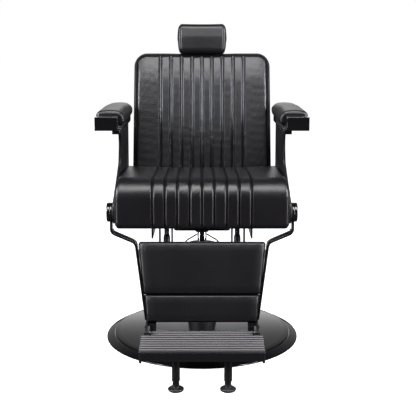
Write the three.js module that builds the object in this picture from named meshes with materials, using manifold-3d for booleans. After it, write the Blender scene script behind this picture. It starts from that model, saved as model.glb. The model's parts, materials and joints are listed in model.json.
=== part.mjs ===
// Hydraulic barber chair: round base, foot pump, swivelling seat, reclining back and swinging leg rest.
// Millimetres, +Z up, the sitter faces -Y. The origin is on the floor, on the axis of the pump.
// "left" and "right" are the sitter's own: left is +X.
import * as THREE from 'three';
import { mergeVertices } from 'three/addons/utils/BufferGeometryUtils.js';
import Module from 'manifold-3d';

const wasm = await Module();
wasm.setup();

// ---- Clearances -------------------------------------------------------------------------------
const SEAT_GAP = 0.3;
const BORE_GAP = 0.35;
const FLOOR_GAP = 1;
const CLOTH_GAP = 4.5;

// ---- Base and pump ----------------------------------------------------------------------------
const BASE_R = 340;
const BASE_SIDES = 48;
const BASE_PLATE_T = 8;
const COVER_T = 2;
const RIM_BAND = 31;
const RIM_EDGE_H = 7;
const SHOULDER_H = 20;
const DOME_H = 60;
const PUMP_R = 52;
const PUMP_TOP = 318;
const FLANGE_R = 84;
const FLANGE_T = 12;
const FLANGE_BOLTS = 6;
const CAP_R = 57;
const CAP_T = 16.7;
const PISTON_R = 16.5;
const PISTON_FOOT = 60;
const PISTON_TOP = 400;
const BAIL_R = 2.6;
const BAIL_Y = 30;
const BAIL_TOP = 366;

// ---- Foot pedal -------------------------------------------------------------------------------
const PEDAL_Z = 115;
const PEDAL_Y = 92;
const PEDAL_REACH = 222;
const PEDAL_RISE = 35;
const PEDAL_W = 20;
const PEDAL_PIN_R = 5;
const PEDAL_BRACKET_W = 52;
const TREAD_W = 92;
const TREAD_L = 58;
const TREAD_T = 14;

// ---- Seat frame -------------------------------------------------------------------------------
const SOCKET_FOOT = 378;
const SOCKET_R = 23.5;
const SOCKET_FLANGE_R = 36;
const MOUNT_PLATE_Z = 405;
const MOUNT_PLATE_T = 12;
const MOUNT_PLATE_W = 190;
const MOUNT_PLATE_D = 220;
const RAIL_W = 30;
const RAIL_H = 40;
const RAIL_X = 72;
const RAIL_FRONT = -179;
const RAIL_REAR = 150;
const RAIL_NOSE = 12;
const RAIL_NOSE_L = 45;
const CROSS = 25;
const CHEEK_X = 161;
const CHEEK_T = 5;
const CHEEK_FRONT = -250;
const CHEEK_TIP_Z = 410.5;
const CHEEK_HEEL_Y = -72;
const CHEEK_HEEL_Z = 404;
const CHEEK_REAR_Y = -24;
const BOARD_T = 12;

// ---- Seat cushion -----------------------------------------------------------------------------
const SEAT_HALF_W = 272;
const SEAT_FRONT = -302;
const SEAT_FRONT_Z = 616;
const SEAT_REAR_Z = 582;
const SEAT_LIP_Z = 452;
const SEAT_CREST_R = 62;
const SEAT_LIP_R = 20;
const LIP_DEPTH = 46;

// ---- Side plates and arms ---------------------------------------------------------------------
const SIDE_T = 8;
const SIDE_FOOT_Z = 450;
const SIDE_BEND_Z = 545;
const SIDE_LEAN = 9;
const SIDE_WAIST_Z = 634;
const SIDE_WAIST_R = 70;
const SIDE_SWEEP_R = 60;
const SIDE_HUB_RISE = 52;
const SIDE_TAIL_Y = 266;
const SIDE_TAIL_RISE = 62;
const SIDE_NECK_Y = -98;
const SIDE_NECK_Z = 702;
const ARM_Z = 750;
const ARM_PLATE_FRONT = -142;
const ARM_PLATE_REAR = 174;
const RAIL_IN = 259;
const RAIL_OUT = 283;
const ARM_RAIL_FRONT = -255;
const ARM_RAIL_REAR = 176;
const ARM_RAIL_H = 21;
const BLOCK_IN = 266;
const BLOCK_OUT = 336;
const BLOCK_FRONT = -272;
const BLOCK_D = 72;
const BLOCK_Z = 763;
const BLOCK_H = 42;
const PAD_IN = 249;
const PAD_OUT = 340;
const PAD_REAR = 182;
const PAD_H = 48;
const PAD_ROUND = 19;
const PAD_REAR_OUT = 0.29;
const PAD_REAR_IN = 0.37;

// ---- Leg rest ---------------------------------------------------------------------------------
const HUB_Y = -250;
const HUB_Z = 499;
const HUB_R = 31;
const HUB_CAP_T = 10;
const HUB_SPACER_T = 2.7;
const HUB_PIN_R = 8;
const BAR_T = 8;
const BAR_W = 36;
const BAR_BEND_Z = 436;
const BAR_KNEE_X = 212.5;
const BAR_KNEE_Z = 404;
const BAR_END_Z = 166;
const BAR_KNEE_Y = -266;
const BAR_END_Y = -322;
const PAD_TOP_Y = -300;
const PAD_TOP_Z = 410;
const PAD_TILT = 13.8;
const PAD_LENGTH = 252;
const PAD_THICK = 44;
const PAD_TOP_HALF = 201.5;
const PAD_EAR_GAP = 1.8;
const PAD_SPLIT = 163;
const PAD_SPLIT_GAP = 2;
const CALF_BOARD_T = 6;
const CALF_TABS = [[-50, -22], [-226, -200]];
const CALF_TUBE_R = 9;
const CALF_TUBE_DROP = 200;

// ---- Struts between seat frame and leg rest ---------------------------------------------------
const STRUT_X = 115;
const STRUT_TOP_Y = -209;
const STRUT_TOP_Z = 456;
const STRUT_FOOT_Y = -256;
const STRUT_FOOT_Z = 260;
const STRUT_ROD_R = 8.2;
const STRUT_TUBE_R = 11;
const STRUT_TUBE_L = 150;
const STRUT_ROD_L = 138;
const STRUT_EYE_R = 15;
const STRUT_EYE_PLAY = 6.6;
const STRUT_PIN_R = 5;
const EAR_T = 4.5;
const EAR_IN = 98;
const EAR_OUT = 138;
const EAR_FOOT_Z = 376;
const EAR_WEB_Z = 438;
const EAR_FRONT = -230;

// ---- Back -------------------------------------------------------------------------------------
const BACK_TILT = 12;
const SHAFT_Y = 185;
const SHAFT_Z = 500;
const SHAFT_R = 12.5;
const SHAFT_FLANGE_R = 20;
const SHAFT_FLANGE_T = 5;
const BACK_FACE = -48;
const BACK_PAD_T = 64;
const BACK_FOOT = 38;
const BACK_TOP = 489.5;
const BACK_DIP = 3;
const BACK_DIP_HALF = 125;
const BACK_TOP_HALF = 246.5;
const BACK_FOOT_HALF = 251.5;
const BACK_CORNER = 45;
const BACK_BOARD_T = 11.7;
const BACK_PANEL_T = 17.7;
const BACK_INSET = 9;
const BACK_ARM_X = 197;
const BACK_ARM_W = 14;
const BACK_ARM_R = 22;
const BACK_ARM_TOP = 270;
const BACK_ARM_T = 14;

// ---- Headrest ---------------------------------------------------------------------------------
const HEAD_BAR_W = 30;
const HEAD_BAR_T = 6;
const HEAD_BAR_FOOT = 300;
const HEAD_BAR_TOP = 572;
const SOCKET_W = 52;
const SOCKET_D = 20;
const SOCKET_LOW = 378;
const SOCKET_H = 92;
const KNOB_R = 17;
const KNOB_T = 20;
const KNOB_LOBES = 6;
const KNOB_STEM_R = 4;
const HEAD_LENGTH = 108;
const HEAD_HALF_W = 90;
const HEAD_PAD_T = 80;
const HEAD_BOARD_T = 6;
const HEAD_BOARD_HALF_W = 78;
const HEAD_REAR = 6;

// ---- Footrest ---------------------------------------------------------------------------------
const FOLD_Y = -392;
const FOLD_Z = 141;
const FOLD_PIN_R = 4.5;
const FOOT_EAR_GAP = 7.5;
const BAR_EAR_STEP = 2.5;
const FOOT_EAR_T = 5;
const FOOT_EAR_R = 11;
const FOOT_FRONT = -540;
const FOOT_STEP = -402;
const FOOT_REAR = -332;
const FOOT_FRONT_HALF = 189;
const FOOT_STEP_HALF = 191;
const FOOT_NECK_HALF = 166;
const FOOT_PLATE_Z = 131;
const FOOT_PLATE_T = 4;
const FOOT_SIDE_H = 33;
const FOOT_LIP_H = 27;
const FOOT_WALL = 4;
const FOOT_CORNER = 8;
const FOOT_HOLLOW = 16;
const RIB_PITCH = 19.4;
const RIB_BASE = 4.2;
const RIB_H = 2.8;
const RIB_TOP_W = 9;
const STOP_W = 20;
const STOP_D = 13;
const STOP_H = 16.5;
const EAR_STOP_H = 10;
const LEG_X = 79;
const LEG_Y = -510;
const LEG_R = 12.2;
const GLIDE_R = 24.5;
const GLIDE_H = 20;

// ---- Recline lever ----------------------------------------------------------------------------
const LEVER_Y = 20;
const LEVER_Z = 480;
const LEVER_HUB_R = 14;
const LEVER_PIN_R = 5;
const LEVER_REACH = 118;
const LEVER_DROP = 21;
const LEVER_BAR_R = 5;
const GRIP_R = 12;
const GRIP_L = 46;

// ---- Sizes that follow from the ones above ----------------------------------------------------
const railFootZ = MOUNT_PLATE_Z + MOUNT_PLATE_T + SEAT_GAP;
const crossFootZ = railFootZ + RAIL_H;
const boardZ = crossFootZ + CROSS + SEAT_GAP;
const cushionZ = boardZ + BOARD_T + SEAT_GAP;
const sideIn = SEAT_HALF_W + CLOTH_GAP;
const sideOut = sideIn + SIDE_T;
const hubIn = sideOut + HUB_SPACER_T + SEAT_GAP;
const hubOut = hubIn + BAR_T;
const capZ = PUMP_TOP + SEAT_GAP;
const capTop = capZ + CAP_T;
const backBoardY = BACK_FACE + BACK_PAD_T + SEAT_GAP;
const backPanelY = backBoardY + BACK_BOARD_T + SEAT_GAP;
const backRearY = backPanelY + BACK_PANEL_T + SEAT_GAP;
const earRear = RAIL_FRONT - SEAT_GAP;
const headFoot = BACK_TOP - BACK_DIP + CLOTH_GAP;
const headTop = headFoot + HEAD_LENGTH;
const footEarX = FOOT_NECK_HALF + FOOT_EAR_GAP + FOOT_EAR_T / 2;
const barEndX = footEarX + BAR_EAR_STEP;
const padFootHalf = footEarX - FOOT_EAR_T / 2 - PAD_EAR_GAP;
const strutLength = Math.hypot(STRUT_TOP_Y - STRUT_FOOT_Y, STRUT_TOP_Z - STRUT_FOOT_Z);
const strutTilt = Math.atan2(STRUT_TOP_Y - STRUT_FOOT_Y, STRUT_TOP_Z - STRUT_FOOT_Z);
const radians = (degrees) => (degrees * Math.PI) / 180;
// Rear end of the seat cushion at a height: it follows the tilted face of the back.
const seatRear = (z) => SHAFT_Y + BACK_FACE / Math.cos(radians(BACK_TILT))
  + (z - SHAFT_Z) * Math.tan(radians(BACK_TILT)) - CLOTH_GAP;

// ---- Finishes ---------------------------------------------------------------------------------
const finish = (color, roughness, metalness) =>
  new THREE.MeshStandardMaterial({ color, roughness, metalness });
const GLOSS_BLACK = finish(0x101012, 0.18, 0.2);
const SATIN_BLACK = finish(0x141416, 0.4, 0.3);
const CHROME = finish(0xd6d8dc, 0.08, 1.0);
const BARE_STEEL = finish(0x6a6c70, 0.35, 0.9);
const LEATHER = finish(0x17171b, 0.38, 0.0);
const PLYWOOD = finish(0x8a6a45, 0.7, 0.0);
const RUBBER = finish(0x151515, 0.8, 0.0);
const RIBBED_METAL = finish(0x4a4a4e, 0.35, 0.8);

// ---- Making solids ----------------------------------------------------------------------------
// A geometry with only positions and shared corners, its faces pointing out.
function closed(geometry) {
  const bare = new THREE.BufferGeometry();
  bare.setAttribute('position', geometry.getAttribute('position').clone());
  if (geometry.index) bare.setIndex(geometry.index.clone());
  const merged = mergeVertices(bare, 1e-4);
  const p = merged.getAttribute('position');
  const index = Array.from(merged.index.array);
  const [a, b, c] = [new THREE.Vector3(), new THREE.Vector3(), new THREE.Vector3()];
  const faces = [];
  let volume = 0;
  for (let i = 0; i < index.length; i += 3) {
    const [i0, i1, i2] = [index[i], index[i + 1], index[i + 2]];
    if (i0 === i1 || i1 === i2 || i2 === i0) continue;
    faces.push(i0, i1, i2);
    a.fromBufferAttribute(p, i0);
    b.fromBufferAttribute(p, i1);
    c.fromBufferAttribute(p, i2);
    volume += a.dot(b.cross(c));
  }
  if (volume < 0) faces.reverse();
  merged.setIndex(faces);
  return merged;
}

function toManifold(geometry) {
  const g = closed(geometry);
  return new wasm.Manifold(new wasm.Mesh({
    numProp: 3,
    vertProperties: new Float32Array(g.getAttribute('position').array),
    triVerts: new Uint32Array(g.index.array),
  }));
}

function fromManifold(manifold) {
  const mesh = manifold.getMesh();
  const g = new THREE.BufferGeometry();
  g.setAttribute('position', new THREE.BufferAttribute(new Float32Array(mesh.vertProperties), 3));
  g.setIndex(Array.from(mesh.triVerts));
  return g;
}

const join = (...parts) => fromManifold(
  parts.map(toManifold).reduce((sum, next) => sum.add(next)));
const cut = (body, ...tools) => fromManifold(
  tools.map(toManifold).reduce((rest, tool) => rest.subtract(tool), toManifold(body)));
const common = (one, other) => fromManifold(toManifold(one).intersect(toManifold(other)));

// Box from two opposite corners.
function block(x0, x1, y0, y1, z0, z1) {
  const g = new THREE.BoxGeometry(x1 - x0, y1 - y0, z1 - z0);
  g.translate((x0 + x1) / 2, (y0 + y1) / 2, (z0 + z1) / 2);
  return g;
}

// Solid of revolution about Z from a profile of [radius, height] points.
function turned(profile, segments = 28) {
  const points = profile.map(([r, z]) => new THREE.Vector2(r, z));
  const g = new THREE.LatheGeometry(points, segments);
  g.rotateX(Math.PI / 2);
  return g;
}

const disc = (r, z0, z1, segments = 24) =>
  turned([[0, z0], [r, z0], [r, z1], [0, z1]], segments);

// Round bar along X, between two planes.
function barX(r, x0, x1, y, z, segments = 18) {
  const g = new THREE.CylinderGeometry(r, r, x1 - x0, segments);
  g.rotateZ(Math.PI / 2);
  g.translate((x0 + x1) / 2, y, z);
  return g;
}

// Round bar along Y, between two planes.
function barY(r, y0, y1, x, z, segments = 18) {
  const g = new THREE.CylinderGeometry(r, r, y1 - y0, segments);
  g.translate(x, (y0 + y1) / 2, z);
  return g;
}

function extrude(shape, depth, curveSegments = 8) {
  return new THREE.ExtrudeGeometry(shape, { depth, bevelEnabled: false, curveSegments });
}

// A (y, z) outline pulled along X from x0 to x1.
function pulledX(shape, x0, x1, curveSegments) {
  const g = extrude(shape, x1 - x0, curveSegments);
  g.applyMatrix4(new THREE.Matrix4().makeBasis(
    new THREE.Vector3(0, 1, 0), new THREE.Vector3(0, 0, 1), new THREE.Vector3(1, 0, 0)));
  g.translate(x0, 0, 0);
  return g;
}

// An (x, z) outline pulled along Y from y0 to y1.
function pulledY(shape, y0, y1, curveSegments) {
  const g = extrude(shape, y1 - y0, curveSegments);
  g.rotateX(Math.PI / 2);
  g.translate(0, y1, 0);
  return g;
}

// An (x, y) outline pulled along Z from z0 to z1.
function pulledZ(shape, z0, z1, curveSegments) {
  const g = extrude(shape, z1 - z0, curveSegments);
  g.translate(0, 0, z0);
  return g;
}

// Straight-sided outline through points; each may carry a corner radius as its third number.
function outline(points) {
  const shape = new THREE.Shape();
  const n = points.length;
  const at = (k) => new THREE.Vector2(points[(k + n) % n][0], points[(k + n) % n][1]);
  points.forEach(([, , radius = 0], k) => {
    const here = at(k);
    if (!radius) {
      if (k === 0) shape.moveTo(here.x, here.y);
      else shape.lineTo(here.x, here.y);
      return;
    }
    const back = at(k - 1).sub(here).normalize();
    const ahead = at(k + 1).sub(here).normalize();
    const half = Math.acos(THREE.MathUtils.clamp(back.dot(ahead), -1, 1)) / 2;
    const run = radius / Math.tan(half);
    const start = here.clone().addScaledVector(back, run);
    const end = here.clone().addScaledVector(ahead, run);
    const centre = here.clone().addScaledVector(
      back.clone().add(ahead).normalize(), radius / Math.sin(half));
    const a0 = Math.atan2(start.y - centre.y, start.x - centre.x);
    const a1 = Math.atan2(end.y - centre.y, end.x - centre.x);
    const clockwise = back.x * ahead.y - back.y * ahead.x > 0;
    if (k === 0) shape.moveTo(start.x, start.y);
    else shape.lineTo(start.x, start.y);
    shape.absarc(centre.x, centre.y, radius, a0, a1, clockwise);
  });
  shape.closePath();
  return shape;
}

// Flat strip of one thickness that follows a bent centre line.
function bentStrip(line, thickness) {
  const sides = [[], []];
  line.forEach((point, k) => {
    const here = new THREE.Vector2(...point);
    const before = k > 0 ? here.clone().sub(new THREE.Vector2(...line[k - 1])).normalize() : null;
    const after = k < line.length - 1
      ? new THREE.Vector2(...line[k + 1]).sub(here).normalize() : null;
    const along = (before ?? after).clone().add(after ?? before).normalize();
    const across = new THREE.Vector2(-along.y, along.x);
    const turn = before && after ? Math.sqrt((1 + before.dot(after)) / 2) : 1;
    [1, -1].forEach((side, s) => {
      const edge = here.clone().addScaledVector(across, (side * thickness) / 2 / turn);
      sides[s].push([edge.x, edge.y]);
    });
  });
  return outline([...sides[0], ...sides[1].reverse()]);
}

// Round wire or tube of constant radius along a smooth path.
function wire(points, r, steps, sides = 10) {
  const path = new THREE.CatmullRomCurve3(points.map((p) => new THREE.Vector3(...p)));
  const section = new THREE.Shape();
  for (let k = 0; k < sides; k += 1) {
    const a = (2 * Math.PI * k) / sides;
    if (k === 0) section.moveTo(r, 0);
    else section.lineTo(r * Math.cos(a), r * Math.sin(a));
  }
  section.closePath();
  return new THREE.ExtrudeGeometry(section, { extrudePath: path, steps, bevelEnabled: false });
}

function part(parent, name, geometry, material) {
  const mesh = new THREE.Mesh(closed(geometry), material);
  mesh.name = name;
  parent.add(mesh);
  return mesh;
}

// Mirrors a geometry made for the +X side when side is -1.
function onSide(geometry, side) {
  if (side > 0) return geometry;
  const g = closed(geometry);
  g.scale(-1, 1, 1);
  return closed(g);
}

const SIDES = [['left', 1], ['right', -1]];

// ---- Base -------------------------------------------------------------------------------------
// Height of the cover's outer face at a radius: a shallow dome between the rim and the pump.
function domeHeight(r) {
  const rim = BASE_R - RIM_BAND;
  const neck = PUMP_R + SEAT_GAP;
  const share = (r - neck) / (rim - neck);
  return DOME_H - (DOME_H - SHOULDER_H) * share ** 1.5;
}

function baseCover() {
  const rim = BASE_R - RIM_BAND;
  const neck = PUMP_R + SEAT_GAP;
  const steps = 4;
  const top = [];
  for (let k = 0; k <= steps; k += 1) {
    const r = rim + ((neck - rim) * k) / steps;
    top.push([r, domeHeight(r)]);
  }
  const under = top.map(([r, z]) => [r, z - COVER_T]).reverse();
  return turned([
    [BASE_R - COVER_T, 0.5], [BASE_R, 0.5], [BASE_R, RIM_EDGE_H - 2], [BASE_R - 2, RIM_EDGE_H],
    [rim + 2, SHOULDER_H - 4.5], ...top, ...under,
    [rim + 1, SHOULDER_H - 4.5 - COVER_T], [BASE_R - COVER_T - 1, RIM_EDGE_H - COVER_T - 1],
    [BASE_R - COVER_T, RIM_EDGE_H - COVER_T - 2], [BASE_R - COVER_T, 0.5],
  ], BASE_SIDES);
}

function pumpHousing() {
  const foot = BASE_PLATE_T + SEAT_GAP;
  const bore = PISTON_R + BORE_GAP;
  return turned([
    [0, foot], [FLANGE_R, foot], [FLANGE_R, foot + FLANGE_T], [PUMP_R + 6, foot + FLANGE_T],
    [PUMP_R, foot + FLANGE_T + 8], [PUMP_R, PUMP_TOP], [bore, PUMP_TOP],
    [bore, PISTON_FOOT - 20], [0, PISTON_FOOT - 20],
  ]);
}

// One washer ring with the hexagon heads standing on it.
function flangeBolts() {
  const foot = BASE_PLATE_T + FLANGE_T + 2 * SEAT_GAP;
  const ringR = (FLANGE_R + PUMP_R + 6) / 2;
  const ring = turned([
    [ringR - 9, foot], [ringR + 9, foot], [ringR + 9, foot + 2], [ringR - 9, foot + 2],
    [ringR - 9, foot]]);
  const heads = [];
  for (let k = 0; k < FLANGE_BOLTS; k += 1) {
    const a = (2 * Math.PI * k) / FLANGE_BOLTS;
    const head = disc(8, foot + 1, foot + 9, 6);
    head.translate(ringR * Math.cos(a), ringR * Math.sin(a), 0);
    heads.push(head);
  }
  return join(ring, ...heads);
}

function pumpCap() {
  const bore = PISTON_R + BORE_GAP;
  return turned([
    [bore, capZ], [CAP_R, capZ], [CAP_R, capTop - 4], [CAP_R - 5, capTop],
    [bore + 6, capTop], [bore + 5, capTop + 3], [bore, capTop + 3], [bore, capZ],
  ]);
}

function lockBail() {
  const foot = CAP_R + BAIL_R + SEAT_GAP;
  return wire([
    [-foot, 0, capZ], [-foot, 8, capTop - 4], [-foot + 4, BAIL_Y - 6, capTop + BAIL_R],
    [-foot / 2, BAIL_Y, (capTop + BAIL_TOP) / 2 + BAIL_R], [-6, BAIL_Y, BAIL_TOP],
    [6, BAIL_Y, BAIL_TOP], [foot / 2, BAIL_Y, (capTop + BAIL_TOP) / 2 + BAIL_R],
    [foot - 4, BAIL_Y - 6, capTop + BAIL_R], [foot, 8, capTop - 4], [foot, 0, capZ],
  ], BAIL_R, 22, 6);
}

function pedalBracket() {
  const half = PEDAL_BRACKET_W / 2;
  const slot = PEDAL_W / 2 + 1;
  const body = pulledX(outline([
    [0, PEDAL_Z - 22], [PEDAL_Y + 4, PEDAL_Z - 16, 10], [PEDAL_Y + 14, PEDAL_Z + 2, 10],
    [PEDAL_Y, PEDAL_Z + 16, 10], [0, PEDAL_Z + 24]]), -half, half);
  return cut(body,
    disc(PUMP_R + SEAT_GAP, 0, PUMP_TOP, 32),
    block(-slot, slot, PUMP_R + 14, PEDAL_Y + 40, PEDAL_Z - 40, PEDAL_Z + 60),
    barX(PEDAL_PIN_R + BORE_GAP, -half - 1, half + 1, PEDAL_Y, PEDAL_Z));
}

function makeBase(base) {
  const plateR = BASE_R - COVER_T - SEAT_GAP;
  part(base, 'base_plate', turned([
    [0, 0], [plateR, 0], [plateR, 3], [plateR - 14, BASE_PLATE_T], [0, BASE_PLATE_T]],
  BASE_SIDES), BARE_STEEL);
  part(base, 'base_cover', baseCover(), GLOSS_BLACK);
  part(base, 'pump_housing', pumpHousing(), SATIN_BLACK);
  part(base, 'flange_bolts', flangeBolts(), BARE_STEEL);
  part(base, 'pump_cap', pumpCap(), SATIN_BLACK);
  part(base, 'lock_bail', lockBail(), SATIN_BLACK);
  part(base, 'pedal_bracket', pedalBracket(), SATIN_BLACK);
  const half = PEDAL_BRACKET_W / 2;
  part(base, 'pedal_pin', barX(PEDAL_PIN_R, -half - 2, half + 2, PEDAL_Y, PEDAL_Z), BARE_STEEL);
}

// ---- Pedal, placed about its pin --------------------------------------------------------------
function makePedal(pedal) {
  const half = PEDAL_W / 2;
  const hub = barX(PEDAL_PIN_R + 8, -half, half, 0, 0);
  const arm = pulledX(outline([
    [4, -9], [PEDAL_REACH - 30, PEDAL_RISE - 26], [PEDAL_REACH, PEDAL_RISE - 24],
    [PEDAL_REACH, PEDAL_RISE - 14], [PEDAL_REACH - 40, PEDAL_RISE - 14], [0, 12]]), -half, half);
  const bore = barX(PEDAL_PIN_R + BORE_GAP, -half - 1, half + 1, 0, 0);
  part(pedal, 'pedal_lever', cut(join(hub, arm), bore), SATIN_BLACK);
  const foot = PEDAL_RISE - 14 + SEAT_GAP;
  const pad = pulledZ(outline([
    [-TREAD_W / 2, PEDAL_REACH - TREAD_L / 2 - 10, 8], [TREAD_W / 2, PEDAL_REACH - TREAD_L / 2 - 10, 8],
    [TREAD_W / 2, PEDAL_REACH + TREAD_L / 2 - 10, 8], [-TREAD_W / 2, PEDAL_REACH + TREAD_L / 2 - 10, 8],
  ]), foot, foot + TREAD_T, 4);
  const grooves = [-2, -1, 0, 1, 2].map((k) => block(
    -TREAD_W / 2 - 1, TREAD_W / 2 + 1, PEDAL_REACH - 12 + k * 10, PEDAL_REACH - 8 + k * 10,
    foot + TREAD_T - 2, foot + TREAD_T + 1));
  part(pedal, 'pedal_tread', cut(pad, ...grooves), RUBBER);
}

// ---- Seat frame and cushion -------------------------------------------------------------------
function seatSocket() {
  const bore = PISTON_R + BORE_GAP;
  const ceiling = PISTON_TOP + SEAT_GAP;
  const top = MOUNT_PLATE_Z - SEAT_GAP;
  return turned([
    [0, ceiling], [bore, ceiling], [bore, SOCKET_FOOT], [SOCKET_R - 2, SOCKET_FOOT],
    [SOCKET_R, SOCKET_FOOT + 2], [SOCKET_R, SOCKET_FOOT + 12], [SOCKET_FLANGE_R, SOCKET_FOOT + 18],
    [SOCKET_FLANGE_R, top], [0, top]]);
}

function seatSubframe() {
  const railFoot = railFootZ;
  const railTop = crossFootZ + 1;
  const profile = outline([
    [RAIL_FRONT, railFoot + RAIL_NOSE], [RAIL_FRONT + RAIL_NOSE_L, railFoot], [RAIL_REAR, railFoot],
    [RAIL_REAR, railTop], [RAIL_FRONT, railTop]]);
  const rails = SIDES.map(([, side]) => pulledX(
    profile, side * RAIL_X - RAIL_W / 2, side * RAIL_X + RAIL_W / 2));
  const reach = sideIn - SEAT_GAP;
  const tubes = [RAIL_FRONT, RAIL_REAR - CROSS - 20].map((y) => block(
    -reach, reach, y, y + CROSS, crossFootZ, crossFootZ + CROSS));
  return join(...rails, ...tubes);
}

function cheekPlate(side) {
  const top = boardZ - SEAT_GAP;
  const shape = outline([
    [CHEEK_FRONT, top], [CHEEK_FRONT, CHEEK_TIP_Z + 4], [CHEEK_FRONT + 4, CHEEK_TIP_Z],
    [CHEEK_HEEL_Y, CHEEK_HEEL_Z, 12], [CHEEK_REAR_Y, crossFootZ - SEAT_GAP],
    [RAIL_FRONT + CROSS + SEAT_GAP, crossFootZ - SEAT_GAP], [RAIL_FRONT - SEAT_GAP, crossFootZ - SEAT_GAP],
    [RAIL_FRONT - SEAT_GAP, top]]);
  return onSide(pulledX(shape, CHEEK_X - CHEEK_T / 2, CHEEK_X + CHEEK_T / 2), side);
}

// Two ears and a web that hold the upper pin of a strut.
function strutBracket(side) {
  const top = boardZ - SEAT_GAP;
  const web = earRear - EAR_T;
  const ear = outline([
    [EAR_FRONT, top - 14, 8], [EAR_FRONT, EAR_FOOT_Z, 10], [earRear, EAR_FOOT_Z + 12, 10],
    [earRear, top], [EAR_FRONT + 12, top]]);
  const ears = [EAR_IN, EAR_OUT].map((x) => pulledX(ear, x - EAR_T / 2, x + EAR_T / 2, 4));
  const plate = block(EAR_IN, EAR_OUT, web, earRear, EAR_WEB_Z, top);
  const pin = barX(STRUT_PIN_R, EAR_IN, EAR_OUT, STRUT_TOP_Y, STRUT_TOP_Z, 16);
  return onSide(join(...ears, plate, pin), side);
}

// Side view of the cushion: top sloping down to the rear, round front crest, lip hanging at the front.
function cushionProfile() {
  const lipRear = SEAT_FRONT + LIP_DEPTH;
  return outline([
    [seatRear(cushionZ), cushionZ], [seatRear(SEAT_REAR_Z), SEAT_REAR_Z, 10],
    [SEAT_FRONT, SEAT_FRONT_Z, SEAT_CREST_R], [SEAT_FRONT, SEAT_LIP_Z, SEAT_LIP_R],
    [lipRear, SEAT_LIP_Z, 6], [lipRear, cushionZ]]);
}

function makeSeat(seat) {
  part(seat, 'seat_socket', seatSocket(), SATIN_BLACK);
  const plateHalfW = MOUNT_PLATE_W / 2;
  const plateHalfD = MOUNT_PLATE_D / 2;
  part(seat, 'mount_plate', pulledZ(outline([
    [-plateHalfW, -plateHalfD, 12], [plateHalfW, -plateHalfD, 12],
    [plateHalfW, plateHalfD, 12], [-plateHalfW, plateHalfD, 12],
  ]), MOUNT_PLATE_Z, MOUNT_PLATE_Z + MOUNT_PLATE_T, 4), SATIN_BLACK);
  part(seat, 'seat_subframe', seatSubframe(), SATIN_BLACK);
  const boardHalf = SEAT_HALF_W - 10;
  part(seat, 'seat_board', block(-boardHalf, boardHalf, SEAT_FRONT + LIP_DEPTH + 2,
    seatRear(cushionZ) - 5, boardZ, boardZ + BOARD_T), PLYWOOD);
  part(seat, 'seat_cushion', pulledX(cushionProfile(), -SEAT_HALF_W, SEAT_HALF_W, 6), LEATHER);
  for (const [word, side] of SIDES) {
    part(seat, `cheek_plate_${word}`, cheekPlate(side), SATIN_BLACK);
    part(seat, `strut_bracket_${word}`, strutBracket(side), SATIN_BLACK);
    part(seat, `side_plate_${word}`, sidePlate(side), SATIN_BLACK);
    part(seat, `arm_rail_${word}`, armRail(side), GLOSS_BLACK);
    part(seat, `arm_pad_${word}`, armPad(side), LEATHER);
    part(seat, `hub_bolt_${word}`, hubBolt(side), GLOSS_BLACK);
  }
}

// ---- Side plates, arms and hubs ---------------------------------------------------------------
// Steel plate bent in above the cushion, with bores for the leg rest, the back and the lever.
function sidePlate(side) {
  const lean = SIDE_LEAN;
  const bent = outline([
    [sideIn, SIDE_FOOT_Z - 30], [sideOut, SIDE_FOOT_Z - 30], [sideOut, SIDE_BEND_Z],
    [sideOut - lean, ARM_Z - SEAT_GAP], [sideIn - lean, ARM_Z - SEAT_GAP], [sideIn, SIDE_BEND_Z]]);
  const lobe = HUB_R + 1;
  const rear = SHAFT_R + 16;
  const face = outline([
    [HUB_Y - lobe, HUB_Z - lobe, lobe - 1], [HUB_Y + SIDE_WAIST_R, SIDE_FOOT_Z, SIDE_SWEEP_R],
    [SIDE_TAIL_Y, SIDE_FOOT_Z, rear], [SIDE_TAIL_Y, SHAFT_Z + SIDE_TAIL_RISE, SIDE_SWEEP_R],
    [ARM_PLATE_REAR, ARM_Z + 5], [ARM_PLATE_FRONT, ARM_Z + 5],
    [SIDE_NECK_Y, SIDE_NECK_Z, SIDE_WAIST_R], [SIDE_NECK_Y, SIDE_WAIST_Z, SIDE_WAIST_R / 2],
    [HUB_Y + 20, HUB_Z + SIDE_HUB_RISE, SIDE_SWEEP_R], [HUB_Y - lobe, HUB_Z + lobe, lobe - 1]]);
  const plate = common(pulledY(bent, HUB_Y - 60, SIDE_TAIL_Y + 10), pulledX(face, 0, sideOut + 60, 4));
  const boss = barX(HUB_R, sideOut - 1, sideOut + HUB_SPACER_T, HUB_Y, HUB_Z, 28);
  const reach = sideOut + HUB_SPACER_T + 1;
  const tools = [
    barX(HUB_PIN_R + BORE_GAP, sideIn - 1, reach, HUB_Y, HUB_Z),
    barX(SHAFT_R + BORE_GAP, sideIn - 1, reach, SHAFT_Y, SHAFT_Z, 32)];
  if (side < 0) tools.push(barX(LEVER_PIN_R + BORE_GAP, sideIn - 1, reach, LEVER_Y, LEVER_Z));
  return onSide(cut(join(plate, boss), ...tools), side);
}

// Rail along the top of the side plate, with the support for the pad and the square front block.
function armRail(side) {
  const blockRear = BLOCK_FRONT + BLOCK_D;
  const padZ = ARM_Z + ARM_RAIL_H;
  const low = block(RAIL_IN, RAIL_OUT, ARM_RAIL_FRONT, ARM_RAIL_REAR, ARM_Z, BLOCK_Z + 1);
  const high = block(RAIL_IN, RAIL_OUT, blockRear - 1, ARM_RAIL_REAR, ARM_Z, padZ);
  const shelf = block(RAIL_IN, PAD_OUT - 12, blockRear - 1, ARM_RAIL_REAR - 8, padZ - 5, padZ);
  const front = block(BLOCK_IN, BLOCK_OUT, BLOCK_FRONT, blockRear, BLOCK_Z, BLOCK_Z + BLOCK_H);
  return onSide(join(low, high, shelf, front), side);
}

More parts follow.
